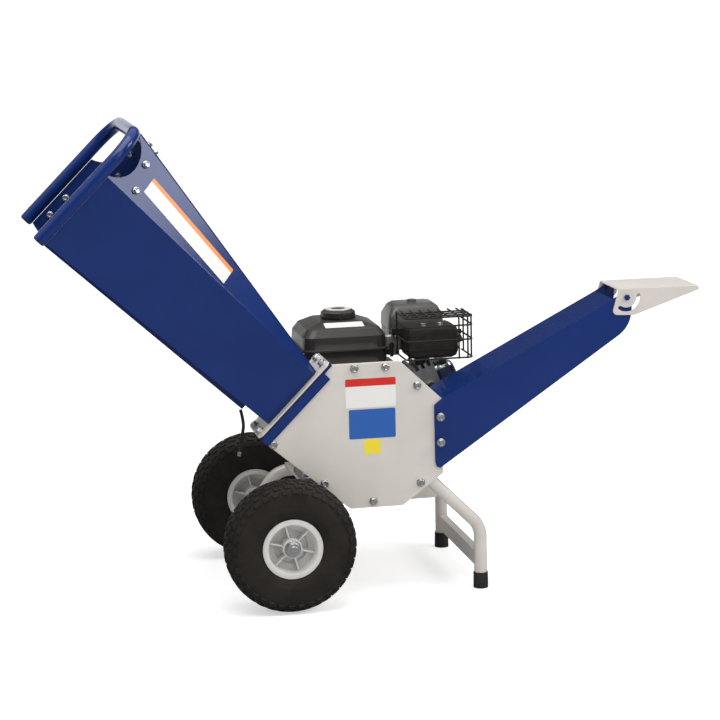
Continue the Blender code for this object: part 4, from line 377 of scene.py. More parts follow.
cast_metal = finish("cast_aluminium", (0.40, 0.40, 0.39), (0.30, 0.30, 0.295), (0.42, 0.58), 0.9,
                    clouds=35, grain=1100, relief=0.55)
black_paint = finish("heat_proof_paint", (0.020, 0.0175, 0.0155), (0.029, 0.0255, 0.0225), (0.48, 0.62),
                     0.1, clouds=40, grain=900, relief=0.20, specular=0.2)
black_plastic = finish("moulded_black_plastic", (0.0195, 0.0160, 0.0140), (0.0260, 0.0215, 0.0185),
                       (0.30, 0.42), clouds=16, grain=1700, relief=0.14, cells=True, specular=0.45)
polished = finish("polished_cover", (0.50, 0.52, 0.53), (0.42, 0.44, 0.45), (0.10, 0.18), 1.0,
                  clouds=25, grain=600, relief=0.03)
satin_grey = finish("satin_grey_cover", (0.058, 0.054, 0.051), (0.066, 0.062, 0.059), (0.30, 0.33),
                    clouds=16, grain=1700, relief=0.10, cells=True)

by_slot = {"silver_paint": silver, "blue_paint": blue, "tyre_rubber": tyre_rubber,
           "grey_plastic": rim_plastic, "soft_rubber": soft_rubber, "zinc_steel": zinc,
           "bare_steel": bare_steel, "cast_aluminium": cast_metal, "black_paint": black_paint,
           "black_plastic": black_plastic}
for node, solid in frame["nodes"].items():
    solid.data.materials.clear()
    solid.data.materials.append(by_slot[slot_of_node[node]])
print("finishes:", len(by_slot) + 2)

# %% [markdown]
# New pieces need a few habits: start with nothing selected, keep the modelled place in the mesh
# itself, and tell the piece which moving part it belongs to.

# %% Habits for new pieces


def alone(*things):
    """Select only these objects, the last one active."""
    if bpy.context.mode != 'OBJECT':
        bpy.ops.object.mode_set(mode='OBJECT')
    bpy.ops.object.select_all(action='DESELECT')
    for thing in things:
        thing.select_set(True)
    bpy.context.view_layer.objects.active = things[-1]


def new_shape(add, **shape):
    """Add one primitive with nothing else selected."""
    bpy.ops.object.select_all(action='DESELECT')
    add(**shape)
    return bpy.context.active_object


def own_copy(piece):
    """Copy of a piece with a mesh of its own."""
    twin = piece.copy()
    twin.data = piece.data.copy()
    bpy.context.scene.collection.objects.link(twin)
    return twin


def turn_to(way):
    """Turn that points a piece's Z along a way."""
    return Vector(way).to_track_quat('Z', 'Y').to_matrix().to_4x4()


def keep_place():
    """Write the place, turn and scale of the selected piece into its mesh."""
    bpy.ops.object.transform_apply(location=True, rotation=True, scale=True)


def settle(piece, name, body, material, angle=35):
    """Name a finished piece and give it its finish, and its moving part unless body is None."""
    piece.name = name
    alone(piece)
    keep_place()
    bpy.ops.object.shade_smooth_by_angle(angle=math.radians(angle))
    if material is not None:
        piece.data.materials.clear()
        piece.data.materials.append(material)
    if body is not None:
        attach(piece, body)


def edit(piece, select='SELECT'):
    """Go into edit mode with all or nothing selected."""
    alone(piece)
    bpy.ops.object.mode_set(mode='EDIT')
    bpy.ops.mesh.select_all(action=select)


def object_mode():
    """Leave edit mode."""
    bpy.ops.object.mode_set(mode='OBJECT')


def choose_faces(piece, wanted):
    """In edit mode, select the faces that a rule wants."""
    bpy.ops.mesh.select_mode(type='FACE')
    bpy.ops.mesh.select_all(action='DESELECT')
    mesh = bmesh.from_edit_mesh(piece.data)
    for face in mesh.faces:
        face.select_set(wanted(face))
    mesh.select_flush_mode()
    bmesh.update_edit_mesh(piece.data)


# %% [markdown]
# The cord itself is one spline with a round section. Its tip is a small cylinder with bevelled
# rims, pushed over the cord's end, so it reads as a crimped sleeve.

# %% Cord and its metal tip
TIP_RADIUS = 0.0036
TIP_LENGTH = 0.009
TIP_ROUNDING = 0.0007
TIP_SET_BACK = 0.0035

cord_data = bpy.data.curves.new("hanging_cord", 'CURVE')
cord_data.dimensions = '3D'
cord_data.bevel_depth = CORD_RADIUS
cord_data.bevel_resolution = 5
cord_data.use_fill_caps = True
spline = cord_data.splines.new('POLY')
spline.points.add(CORD_POINTS - 1)
for target, point in zip(spline.points, cord_line):
    target.co = (*point, 1)
cord_data.materials.append(soft_rubber)
cord = in_scene("hanging_cord", cord_data)
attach(cord, "machine")
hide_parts("tether_cord")

tip_direction = cord_line[-1] - cord_line[-2]
tip = new_shape(bpy.ops.mesh.primitive_cylinder_add, vertices=24, radius=TIP_RADIUS, depth=TIP_LENGTH,
                end_fill_type='NGON')
edit(tip)
bpy.ops.mesh.bevel(offset=TIP_ROUNDING, segments=2, affect='EDGES')
object_mode()
tip_place = cord_line[-1] - tip_direction.normalized() * TIP_SET_BACK
tip.matrix_world = Matrix.Translation(tip_place) @ turn_to(tip_direction)
settle(tip, "cord_tip", "machine", zinc)
print("cord ends at height", round(cord_line[-1].z, 3))

# %% [markdown]
# The sheets, castings and mouldings are right in shape but come as loose triangles with knife-sharp
# edges. A copy of each is merged, flat triangles are joined back into whole faces, and its sharp
# edges get a narrow rounding, because paint and moulding never leave a perfect corner: the thin
# highlight along an edge is what makes a panel look real. Folded sheets also keep shallow folds
# crisp, so that each panel shades flat.

# %% Round the edges of the sheets and castings
EDGE_ROUNDING = {
    "side_plate_near": 0.0007, "side_plate_far": 0.0007, "inlet_frame": 0.0006, "hopper_flange": 0.0005,
    "hopper_body": 0.0006, "hopper_top_plate": 0.0006, "chute_body": 0.0007, "deflector": 0.0006,
    "engine_platform": 0.0008, "leg_crossbar": 0.0012, "fan_shroud": 0.0015, "recoil_cover": 0.0012,
    "crankcase": 0.0010, "crankcase_cover": 0.0012, "cylinder_head": 0.0006, "rocker_cover": 0.0020,
    "tank_bracket": 0.0006, "carburettor": 0.0008, "air_cleaner_base": 0.0008, "air_cleaner_cover": 0.0012,
    "starter_grip": 0.0010, "foot_near": 0.0012, "foot_far": 0.0012, "axle": 0.0005, "axle_beam": 0.0005,
    "rotor_drum": 0.0005, "choke_lever": 0.0005, "fuel_valve_lever": 0.0004, "throttle_lever": 0.0005,
    "engine_switch": 0.0006, "oil_filler_cap": 0.0006, "lock_knob": 0.0010, "flywheel": 0.0005,
    "starter_reel": 0.0004, "ignition_coil": 0.0006, "spark_plug_cap": 0.0006, "spark_plug": 0.0003,
    "counter_knife": 0.0004, "knife_a": 0.0003, "knife_b": 0.0003, "rotor_bolt": 0.0003,
    "housing_band_lower": 0.0004, "housing_band_upper": 0.0004, "rubber_curtain": 0.0005,
    "crankshaft": 0.0006, "flange_gasket": 0.0003, "fuel_cap": 0.0010, "muffler": 0.0008,
    "air_filter": 0.0020,
}
SHEETS = ("side_plate_near", "side_plate_far", "inlet_frame", "hopper_flange", "hopper_body",
          "hopper_top_plate", "chute_body", "deflector", "engine_platform")
SHEET_FOLD = 25
SHARP_EDGE = 40
SMOOTH_BELOW = 35


def merged_copy(node):
    """Copy of a solid with its loose triangles merged into whole faces, which stands for the solid."""
    piece = own_copy(frame["nodes"][node])
    piece.parent = None
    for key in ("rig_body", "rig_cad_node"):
        del piece[key]
    edit(piece)
    bpy.ops.mesh.remove_doubles(threshold=0.00002)
    bpy.ops.mesh.dissolve_limited(angle_limit=math.radians(0.8))
    object_mode()
    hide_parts(node)
    return piece


def round_edges(piece, width, segments=2, sharper_than=SHARP_EDGE):
    """Bevel every edge that is sharper than an angle."""
    alone(piece)
    bevel = piece.modifiers.new("rounding", 'BEVEL')
    bevel.width = width
    bevel.segments = segments
    bevel.limit_method = 'ANGLE'
    bevel.angle_limit = math.radians(sharper_than)
    bpy.ops.object.modifier_apply(modifier="rounding")


def keep_flats_flat(piece):
    """Let large faces decide the shading next to their rounded edges."""
    alone(piece)
    piece.modifiers.new("flats", 'WEIGHTED_NORMAL').keep_sharp = True
    bpy.ops.object.modifier_apply(modifier="flats")


def skin_node(node, width):
    """Merged copy with rounded edges, in the solid's own finish; sheets keep their folds crisp."""
    sharp, smooth = (SHEET_FOLD, SHEET_FOLD) if node in SHEETS else (SHARP_EDGE, SMOOTH_BELOW)
    piece = merged_copy(node)
    round_edges(piece, width, sharper_than=sharp)
    slot = slot_of_node[node]
    settle(piece, f"{node}_skin", body_of_node[node], by_slot[slot], smooth)
    keep_flats_flat(piece)
    return piece


skins = {node: skin_node(node, width) for node, width in EDGE_ROUNDING.items()}
skins["rocker_cover"].data.materials[0] = polished
skins["air_cleaner_cover"].data.materials[0] = satin_grey
print("rounded:", len(skins))

# %% [markdown]
# The fuel tank's front has a shallow pressed panel with a border, which stiffens the moulding. On
# the merged copy that front is one flat face above the seam, so the panel is an inset with depth.

# %% Fuel tank with its pressed front panel
PANEL_BORDER = 0.009
PANEL_DEPTH = 0.0020
FACES_FORWARD = -0.97
LARGE_FACE = 0.0020
TANK_ROUNDING = 0.0014

tank = merged_copy("fuel_tank")
edit(tank)
choose_faces(tank, lambda face: face.normal.y < FACES_FORWARD and face.calc_area() > LARGE_FACE)
bpy.ops.mesh.inset(thickness=PANEL_BORDER, depth=-PANEL_DEPTH)
object_mode()
round_edges(tank, TANK_ROUNDING, 3, 25)
settle(tank, "fuel_tank_skin", "machine", black_plastic, 40)
keep_flats_flat(tank)
print("tank faces:", len(tank.data.polygons))

# %% [markdown]
# Anything round is drawn as half of its section and turned on a lathe. The section is drawn as one
# does with the extrude key: a single point is moved on, corner by corner. The spin then sweeps it
# round the axis, and the doubled seam is merged.

# %% A pencil and a lathe


def draw_line(points):
    """Chain of edges through points, drawn by extruding one vertex from corner to corner."""
    line = new_shape(bpy.ops.mesh.primitive_plane_add, size=0.01, location=points[0])
    edit(line)
    bpy.ops.mesh.select_mode(type='VERT')
    bpy.ops.mesh.merge(type='CENTER')
    for here, there in zip(points, points[1:]):
        bpy.ops.mesh.extrude_region_move(TRANSFORM_OT_translate={"value": Vector(there) - Vector(here)})
    object_mode()
    keep_place()
    return line


def turn_on_lathe(profile, centre, steps, axis='Y'):
    """Piece turned from (radius, along) points round an axis through a centre."""
    centre = Vector(centre)
    if axis == 'Y':
        spindle = (0, 1, 0)
        points = [centre + Vector((0, along, radius)) for radius, along in profile]
    else:
        spindle = (0, 0, 1)
        points = [centre + Vector((radius, 0, along)) for radius, along in profile]
    piece = draw_line(points)
    edit(piece)
    bpy.ops.mesh.spin(steps=steps, angle=math.tau, center=centre, axis=spindle)
    bpy.ops.mesh.select_all(action='SELECT')
    bpy.ops.mesh.remove_doubles(threshold=0.00001)
    bpy.ops.mesh.normals_make_consistent(inside=False)
    object_mode()
    return piece


# %% [markdown]
# A 260 mm pneumatic tyre has smooth, bulging side walls and a block tread: a row down the middle, a
# row on each side of it, and lugs that reach over the shoulders. The plain carcass is turned first.
# Then two of every three steps of a row are raised as one block, with sloping sides, and the rows
# are shifted against each other as on the real tread.

# %% Tyre with its tread
TYRE_STEPS = 108
TREAD_DEPTH = 0.0030
BLOCK_SLOPE = 0.0009
TREAD_STARTS = 0.1105
WALL = ((0.0503, 0.0314), (0.0599, 0.0314), (0.0612, 0.0340), (0.0640, 0.0368), (0.0700, 0.0390),
        (0.0725, 0.0393), (0.0735, 0.0400), (0.0800, 0.0407), (0.0910, 0.0410), (0.1020, 0.0405),
        (0.1100, 0.0392))
TREAD = ((0.1185, 0.0350), (0.1198, 0.0338), (0.1243, 0.0230), (0.1251, 0.0205), (0.1266, 0.0080),
         (0.1268, 0.0055))
ROWS = ((0.0392, 0.0350, 0), (0.0338, 0.0230, 1), (0.0205, 0.0080, 2), (0.0055, -0.0055, 0))
near_hub = on_machine(0, (near_low.y + near_high.y) / 2 - MIDDLE_Y, AXLE_Z)
far_hub = on_machine(0, (far_low.y + far_high.y) / 2 - MIDDLE_Y, AXLE_Z)


def row_of(along):
    """Shift of the tread row at a distance from the tyre's middle, or nothing between the rows."""
    for outer, inner, shift in ROWS:
        if inner < abs(along) < outer:
            return shift
    return None


def raised(face, hub):
    """True for the carcass faces that become the tops of tread blocks."""
    spot = face.calc_center_median() - hub
    radius = math.hypot(spot.x, spot.z)
    shift = row_of(spot.y) if radius > TREAD_STARTS else None
    if shift is None:
        return False
    step = round(math.atan2(spot.z, spot.x) / math.tau * TYRE_STEPS - 0.5)
    return (step + shift) % 3 != 0


half_section = list(WALL) + list(TREAD)
section = half_section + [(radius, -along) for radius, along in reversed(half_section)]
tyre = turn_on_lathe(section + section[:1], near_hub, TYRE_STEPS)
edit(tyre)
choose_faces(tyre, lambda face: raised(face, near_hub))
bpy.ops.mesh.inset(thickness=BLOCK_SLOPE, depth=TREAD_DEPTH, use_boundary=True)
object_mode()
far_tyre = own_copy(tyre)
far_tyre.location = far_hub - near_hub
for piece, label in ((tyre, "near"), (far_tyre, "far")):
    settle(piece, f"block_tread_tyre_{label}", f"wheel_{label}", tyre_rubber, 32)
    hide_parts(f"tyre_{label}")
tyre_radius = max(vertex.co.z for vertex in tyre.data.vertices) - near_hub.z
print("tyre faces:", len(tyre.data.polygons), "radius", round(tyre_radius, 4))

# %% [markdown]
# The rim is one moulding: a hub in a deep ring, a cone with six thin ribs, a barrel and two lips.
# The round body comes off the lathe, a rib is a box scaled to a thin blade, and the blades are set
# round the hub and joined to it before all edges are rounded together.

# %% Rims with six ribs
RIM_STEPS = 72
RIM_SECTION = ((0.0083, 0.030), (0.0190, 0.030), (0.0205, 0.0030), (0.0220, 0.0016), (0.0325, 0.0016),
               (0.0336, 0.0070), (0.0430, 0.0115), (0.0452, 0.0150), (0.0465, 0.0290), (0.0485, 0.0345),
               (0.0500, 0.0350), (0.0580, 0.0350), (0.0593, 0.0343), (0.0593, 0.0317), (0.0500, 0.0317))
RIB_REACH = (0.0175, 0.0472)
RIB_HALF_DEPTH = 0.0235
RIB_THICKNESS = 0.0032
RIB_COUNT = 6
FIRST_RIB = math.radians(15)

section = list(RIM_SECTION) + [(radius, -along) for radius, along in reversed(RIM_SECTION)]
rim = turn_on_lathe(section + section[:1], near_hub, RIM_STEPS)
ribs = []
middle = (RIB_REACH[0] + RIB_REACH[1]) / 2
blade = Matrix.Diagonal((RIB_REACH[1] - RIB_REACH[0], RIB_HALF_DEPTH * 2, RIB_THICKNESS, 1))
for index in range(RIB_COUNT):
    angle = FIRST_RIB + math.tau * index / RIB_COUNT
    rib = new_shape(bpy.ops.mesh.primitive_cube_add, size=1)
    rib.matrix_world = (Matrix.Translation(near_hub) @ Matrix.Rotation(angle, 4, 'Y')
                        @ Matrix.Translation((middle, 0, 0)) @ blade)
    ribs.append(rib)
alone(*ribs, rim)
bpy.ops.object.join()
keep_place()
round_edges(rim, 0.0006)
far_rim = own_copy(rim)
far_rim.location = far_hub - near_hub
for piece, label in ((rim, "near"), (far_rim, "far")):
    settle(piece, f"ribbed_rim_{label}", f"wheel_{label}", rim_plastic, 35)
    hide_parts(f"rim_{label}")
print("rim faces:", len(rim.data.polygons))

# %% [markdown]
# The frame, the handle and the wire guard are all bent from round stock. The centre line is drawn
# with sharp corners, each corner is rounded by a vertex bevel of the bend's own radius, and the line
# becomes a curve with a round section, which is how a tube bender sees the job too.

# %% A tube bender


def bend_corner(line, corner, offset, steps):
    """Round one corner of a drawn line."""
    edit(line, 'DESELECT')
    mesh = bmesh.from_edit_mesh(line.data)
    for vertex in mesh.verts:
        vertex.select_set((vertex.co - corner).length < 0.00001)
    bmesh.update_edit_mesh(line.data)
    bpy.ops.mesh.bevel(offset_type='OFFSET', offset=offset, segments=steps, affect='VERTICES', profile=0.5)
    object_mode()


def bent_tube(corners, bend, radius, sides=5, steps=8):
    """Round tube along a line of corners; sides is the fineness of its section."""
    corners = [Vector(corner) for corner in corners]
    line = draw_line(corners)
    for before, corner, after in zip(corners, corners[1:], corners[2:]):
        turn = (corner - before).angle(after - corner)
        if bend and turn > 0.01:
            bend_corner(line, corner, bend * math.tan(turn / 2), steps)
    bpy.ops.object.convert(target='CURVE')
    tube = bpy.context.active_object
    tube.data.bevel_depth = radius
    tube.data.bevel_resolution = sides
    tube.data.use_fill_caps = True
    bpy.ops.object.convert(target='MESH')
    tube = bpy.context.active_object
    edit(tube)
    bpy.ops.mesh.remove_doubles(threshold=0.00001)
    bpy.ops.mesh.dissolve_limited(angle_limit=math.radians(0.5))
    bpy.ops.mesh.normals_make_consistent(inside=False)
    object_mode()
    return tube


# %% [markdown]
# The far tube is one length: up from the far foot, along under the engine and down to the axle. The
# near leg stops behind the side plate, and a short strut ties the housing to the axle beam.

# %% Frame tubes
TUBE_RADIUS = 0.0127
TUBE_BEND = 0.045
LEG_X = 0.396
LEG_Y = 0.166
LEG_BEND_HEIGHT = 0.126
RAIL_HEIGHT = 0.189
FOOT_TOP_OF_SOLE = 0.0063
AXLE_HEIGHT = 0.130
SHAFT = (0.150, 0.312)
HOUSING_WALL = 0.0993
DIAGONAL = math.sqrt(0.5)

far_line = [on_machine(LEG_X, LEG_Y, FOOT_TOP_OF_SOLE), on_machine(LEG_X, LEG_Y, LEG_BEND_HEIGHT),
            on_machine(LEG_X - (RAIL_HEIGHT - LEG_BEND_HEIGHT), LEG_Y, RAIL_HEIGHT),
            on_machine(0.04425, LEG_Y, RAIL_HEIGHT), on_machine(0.0088, LEG_Y, AXLE_HEIGHT + 0.0117)]
far_tube = bent_tube(far_line, TUBE_BEND, TUBE_RADIUS)
settle(far_tube, "far_tube_bent", "machine", silver)
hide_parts("frame_tube_far")

leg_low, leg_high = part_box("leg_tube_near")
leg_end = Vector((leg_low.x + TUBE_RADIUS * DIAGONAL, 0, leg_high.z - TUBE_RADIUS * DIAGONAL))
near_line = [on_machine(LEG_X, -LEG_Y, FOOT_TOP_OF_SOLE), on_machine(LEG_X, -LEG_Y, LEG_BEND_HEIGHT),
             Vector((leg_end.x, on_machine(0, -LEG_Y, 0).y, leg_end.z))]
near_leg = bent_tube(near_line, TUBE_BEND, TUBE_RADIUS)
settle(near_leg, "near_leg_bent", "machine", silver)
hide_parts("leg_tube_near")

strut_way = Vector((SHAFT[0], 0, SHAFT[1] - AXLE_HEIGHT))
strut_length = strut_way.length - HOUSING_WALL + 0.0012
strut_foot = on_machine(0, -LEG_Y, AXLE_HEIGHT)
strut_line = [strut_foot + strut_way.normalized() * reach for reach in (0.0117, strut_length)]
strut = bent_tube(strut_line, 0, TUBE_RADIUS)
settle(strut, "near_strut_round", "machine", silver)
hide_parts("wheel_strut_near")
print("near leg ends at", [round(value, 3) for value in leg_end])

# %% [markdown]
# The carrying handle is a tube bent twice, which stands on both sides of the mouth. Plastic plugs
# close its lower ends. A plug is a short cylinder whose outer rim is bevelled into a low dome.

# %% Handle of the hopper and its end plugs
MOUTH_AT = -0.5839
HANDLE_AT = -0.5970
HANDLE_OUT = 0.169
HANDLE_LOW = -0.097
HANDLE_HIGH = 0.166
HANDLE_BEND = 0.062
PLUG_RADIUS = TUBE_RADIUS - 0.0012
SIDES = ((-1, "near"), (1, "far"))

handle_line = [on_feed(HANDLE_AT, -HANDLE_OUT, HANDLE_LOW), on_feed(HANDLE_AT, -HANDLE_OUT, HANDLE_HIGH),
               on_feed(HANDLE_AT, HANDLE_OUT, HANDLE_HIGH), on_feed(HANDLE_AT, HANDLE_OUT, HANDLE_LOW)]
handle = bent_tube(handle_line, HANDLE_BEND, TUBE_RADIUS, sides=7, steps=14)
settle(handle, "hopper_handle_bent", "machine", blue)
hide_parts("hopper_handle")

across_feed = Vector((math.cos(FEED_SLOPE), 0, math.sin(FEED_SLOPE)))
for side, label in SIDES:
    plug = new_shape(bpy.ops.mesh.primitive_cylinder_add, vertices=40, radius=PLUG_RADIUS, depth=0.006)
    edit(plug)
    bpy.ops.mesh.bevel(offset=0.0022, segments=4, affect='EDGES')
    object_mode()
    end = on_feed(HANDLE_AT, side * HANDLE_OUT, HANDLE_LOW)
    plug.matrix_world = Matrix.Translation(end) @ turn_to(across_feed)
    settle(plug, f"handle_plug_{label}", "machine", black_plastic)
print("handle faces:", len(handle.data.polygons))

# %% [markdown]
# The muffler sits behind a guard of thin welded wire: four rows that wrap round three sides, two
# uprights that fold over the top, bars on top, posts at both ends, cross wires, and a flat strap
# at the back. Every wire is bent like a small tube, and all are joined into one guard.

# %% Wire guard
GUARD_WIRE = 0.0018
GUARD_LOW_CORNER = on_machine(0.275, -0.064, 0.450)
GUARD_HIGH_CORNER = on_machine(0.412, 0.030, 0.534)
GUARD_ROWS = (0.450, 0.487, 0.516, 0.534)
GUARD_TOP_BARS = 5
GUARD_TOP_MARGIN = 0.040
GUARD_UPRIGHTS = (0.029, 0.011)
GUARD_CROSS_WIRES = (0.022, 0.046, 0.070)
GUARD_POST_OUT = 0.001
GUARD_BACK_POST = 0.012
GUARD_FRONT_POSTS = (0.018, 0.046)
left, near = GUARD_LOW_CORNER.x, GUARD_LOW_CORNER.y
right, low = GUARD_HIGH_CORNER.x, GUARD_LOW_CORNER.z
high = GUARD_HIGH_CORNER.z
far = GUARD_HIGH_CORNER.y + GUARD_WIRE

wires = []
for z in GUARD_ROWS:
    row = [(left, far, z), (left, near, z), (right, near, z), (right, far, z)]
    wires.append(bent_tube(row, 0.010, GUARD_WIRE, 2, 4))
top = high + GUARD_WIRE * 0.6
front = near - GUARD_WIRE * 0.6
for x in (right - inset for inset in GUARD_UPRIGHTS):
    upright = [(x, front, low - GUARD_WIRE), (x, front, top), (x, far, top)]
    wires.append(bent_tube(upright, 0.006, GUARD_WIRE, 2, 4))
for index in range(GUARD_TOP_BARS):
    x = left + (right - GUARD_TOP_MARGIN - left) * (index + 0.5) / GUARD_TOP_BARS
    wires.append(bent_tube([(x, near - GUARD_WIRE, top), (x, far, top)], 0, GUARD_WIRE, 2))
for x, y in ((left - GUARD_POST_OUT, far - GUARD_BACK_POST),
             (right + GUARD_POST_OUT, near + GUARD_FRONT_POSTS[0]),
             (right + GUARD_POST_OUT, near + GUARD_FRONT_POSTS[1]),
             (right + GUARD_POST_OUT, far - GUARD_BACK_POST)):
    wires.append(bent_tube([(x, y, low - GUARD_WIRE), (x, y, high + GUARD_WIRE)], 0, GUARD_WIRE, 2))
for y in (near + inset for inset in GUARD_CROSS_WIRES):
    wires.append(bent_tube([(left, y, high), (right, y, high)], 0, GUARD_WIRE, 2))
strap = new_shape(bpy.ops.mesh.primitive_cube_add, size=1,
                  location=((left + right) / 2, far + 0.0005, GUARD_ROWS[1]))
strap.scale = (right - left, 0.0025, 0.010)
alone(strap)
keep_place()
round_edges(strap, 0.0006)
alone(*wires[1:], strap, wires[0])
bpy.ops.object.join()
guard = bpy.context.active_object
settle(guard, "wire_guard", "machine", black_paint, 50)
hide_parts("muffler_guard")
print("guard wires:", len(wires))

# %% [markdown]
# Zinc plated flange bolts hold the machine together. One is modelled: a thin round flange and a
# six-sided head with a chamfered top. It is then copied to each place, turned to face the way that
# the sheet faces.

# %% One flange bolt and its copies
FLANGE_RADIUS = 0.0085
FLANGE_HEIGHT = 0.0018
HEAD_RADIUS = 0.0075
HEAD_HEIGHT = 0.0052
FIRST_TWIST = 0.3
TWIST_STEP = 0.7

bolt_flange = new_shape(bpy.ops.mesh.primitive_cylinder_add, vertices=32, radius=FLANGE_RADIUS,
                        depth=FLANGE_HEIGHT, location=(0, 0, FLANGE_HEIGHT / 2))
pattern_bolt = new_shape(bpy.ops.mesh.primitive_cylinder_add, vertices=6, radius=HEAD_RADIUS,
                         depth=HEAD_HEIGHT, location=(0, 0, FLANGE_HEIGHT + HEAD_HEIGHT / 2))
edit(pattern_bolt)
choose_faces(pattern_bolt, lambda face: face.normal.z > 0.9)
bpy.ops.mesh.inset(thickness=0.0011, depth=0.0007)
bpy.ops.mesh.inset(thickness=0.0012, depth=-0.0005)
object_mode()
alone(bolt_flange, pattern_bolt)
bpy.ops.object.join()
keep_place()
round_edges(pattern_bolt, 0.00035, 2, 30)
bolt_count = 0


def put_bolt(name, place, facing, size=1.0):
    """Copy of the pattern bolt, sitting on a face and turned a little, as bolts stop at any angle."""
    global bolt_count
    bolt = own_copy(pattern_bolt)
    stop = Matrix.Rotation(FIRST_TWIST + bolt_count * TWIST_STEP, 4, 'Z')
    bolt.matrix_world = Matrix.Translation(place) @ turn_to(facing) @ stop @ Matrix.Scale(size, 4)
    bolt_count += 1
    settle(bolt, name, "machine", zinc, 30)


plate_low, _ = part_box("side_plate_near")
chute_low, chute_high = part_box("chute_body")
_, far_plate_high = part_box("side_plate_far")
PLATE_BOLTS = ((0.143, 0.4625), (0.205, 0.4625), (0.268, 0.422), (-0.0205, 0.3215), (0.0795, 0.2376),
               (0.176, 0.1955), (0.272, 0.2265))
CHUTE_BOLT_X = 0.312
CHUTE_BOLT_HEIGHTS = (0.358, 0.307)
for index, (x, z) in enumerate(PLATE_BOLTS):
    spot = on_machine(x, 0, z)
    put_bolt(f"plate_bolt_{index + 1}", (spot.x, plate_low.y, spot.z), (0, -1, 0))
for index, (x, z) in enumerate(PLATE_BOLTS[2:]):
    spot = on_machine(x, 0, z)
    put_bolt(f"plate_nut_{index + 1}", (spot.x, far_plate_high.y, spot.z), (0, 1, 0))
for index, z in enumerate(CHUTE_BOLT_HEIGHTS):
    spot = on_machine(CHUTE_BOLT_X, 0, z)
    put_bolt(f"chute_bolt_near_{index + 1}", (spot.x, chute_low.y, spot.z), (0, -1, 0))
    put_bolt(f"chute_bolt_far_{index + 1}", (spot.x, chute_high.y, spot.z), (0, 1, 0))
print("bolts on the housing:", bolt_count)

# %% [markdown]
# The hopper has its own bolts and nuts: two through each cheek near the scallop, four through its
# flange, two pairs that hold the top plate, and two through the far wall beside the handle. Each
# cheek leans, so its facing direction is worked out from three corners of the folded sheet.

# %% Bolts of the hopper
THROAT_AT = -0.0089
MOUTH_HALF_WIDTH = 0.168
CHEEK_FOOT = 0.074
CHEEK_BOLTS = ((-0.5407, 0.1385), (-0.5254, 0.0905))
cheek_corners = [on_feed(MOUTH_AT, -MOUTH_HALF_WIDTH, CHEEK_FOOT), on_feed(MOUTH_AT, -0.105, 0.173),
                 on_feed(THROAT_AT, -0.040, 0.064)]
cheek_facing = (cheek_corners[2] - cheek_corners[0]).cross(cheek_corners[1] - cheek_corners[0]).normalized()
if cheek_facing.y > 0:
    cheek_facing.negate()


def on_cheek(along, across, side=-1):
    """Point of a cheek's outer face at a place along and across the feed, and the way it faces."""
    facing = Vector((cheek_facing.x, cheek_facing.y * -side, cheek_facing.z))
    corner = on_feed(MOUTH_AT, side * MOUTH_HALF_WIDTH, CHEEK_FOOT)
    guess = on_feed(along, 0, across)
    y = corner.y - (facing.x * (guess.x - corner.x) + facing.z * (guess.z - corner.z)) / facing.y
    return Vector((guess.x, y, guess.z)), facing


HOPPER_SHEET = 0.002
for side, label in SIDES:
    for index, (along, across) in enumerate(CHEEK_BOLTS):
        spot, facing = on_cheek(along, across, side)
        put_bolt(f"cheek_bolt_{label}_{index + 1}", spot, facing, size=0.85)
        put_bolt(f"cheek_nut_{label}_{index + 1}", spot - facing * HOPPER_SHEET, -facing, size=0.8)

FLANGE_FACE = -0.0086
FRAME_BACK = 0.0
FLANGE_BOLT_ACROSS = 0.090
FLANGE_BOLT_OUT = 0.030
feed_way = (on_feed(1, 0, 0) - on_feed(0, 0, 0)).normalized()
for across, height in ((-FLANGE_BOLT_ACROSS, "low"), (FLANGE_BOLT_ACROSS, "high")):
    for y, side in ((-FLANGE_BOLT_OUT, "near"), (FLANGE_BOLT_OUT, "far")):
        put_bolt(f"flange_bolt_{height}_{side}", on_feed(FLANGE_FACE, y, across), -feed_way, size=1.08)
        put_bolt(f"flange_nut_{height}_{side}", on_feed(FRAME_BACK, y, across), feed_way, size=1.08)

TOP_BOLTS_ALONG = (-0.556, -0.538)
TOP_BOLTS_OUT = 0.082
top_a, top_b = on_feed(MOUTH_AT, 0, 0.1753), on_feed(THROAT_AT, 0, 0.0703)
top_facing = Vector((0, 1, 0)).cross(top_b - top_a).normalized()
if top_facing.z < 0:
    top_facing.negate()
for side, label in SIDES:
    for index, along in enumerate(TOP_BOLTS_ALONG):
        share = (along - MOUTH_AT) / (THROAT_AT - MOUTH_AT)
        spot = top_a.lerp(top_b, share) + Vector((0, side * TOP_BOLTS_OUT, 0))
        put_bolt(f"top_plate_bolt_{label}_{index + 1}", spot, top_facing, size=0.75)

HOPPER_LENGTH = 0.575
HOPPER_NARROWS = 0.128
WALL_BOLTS_ACROSS = (-0.013, -0.058)
WALL_BOLTS_AT = -0.5694
WALL_BOLTS_FROM_MOUTH = 0.0145
WALL_SLOPE = 0.217
for index, across in enumerate(WALL_BOLTS_ACROSS):
    share = WALL_BOLTS_FROM_MOUTH / HOPPER_LENGTH
    spot = on_feed(WALL_BOLTS_AT, MOUTH_HALF_WIDTH - HOPPER_NARROWS * share, across)
    wall_facing = Vector((WALL_SLOPE * DIAGONAL, 0.976, -WALL_SLOPE * DIAGONAL)).normalized()
    put_bolt(f"wall_bolt_{index + 1}", spot - wall_facing * HOPPER_SHEET, -wall_facing, size=0.8)
    put_bolt(f"wall_nut_{index + 1}", spot, wall_facing, size=0.8)
print("bolts so far:", bolt_count)

# %% [markdown]
# The engine has bolts of its own: four round the rocker cover, two on top of the muffler, four on
# the flange of the fan housing, and two through each side of the crankcase foot.

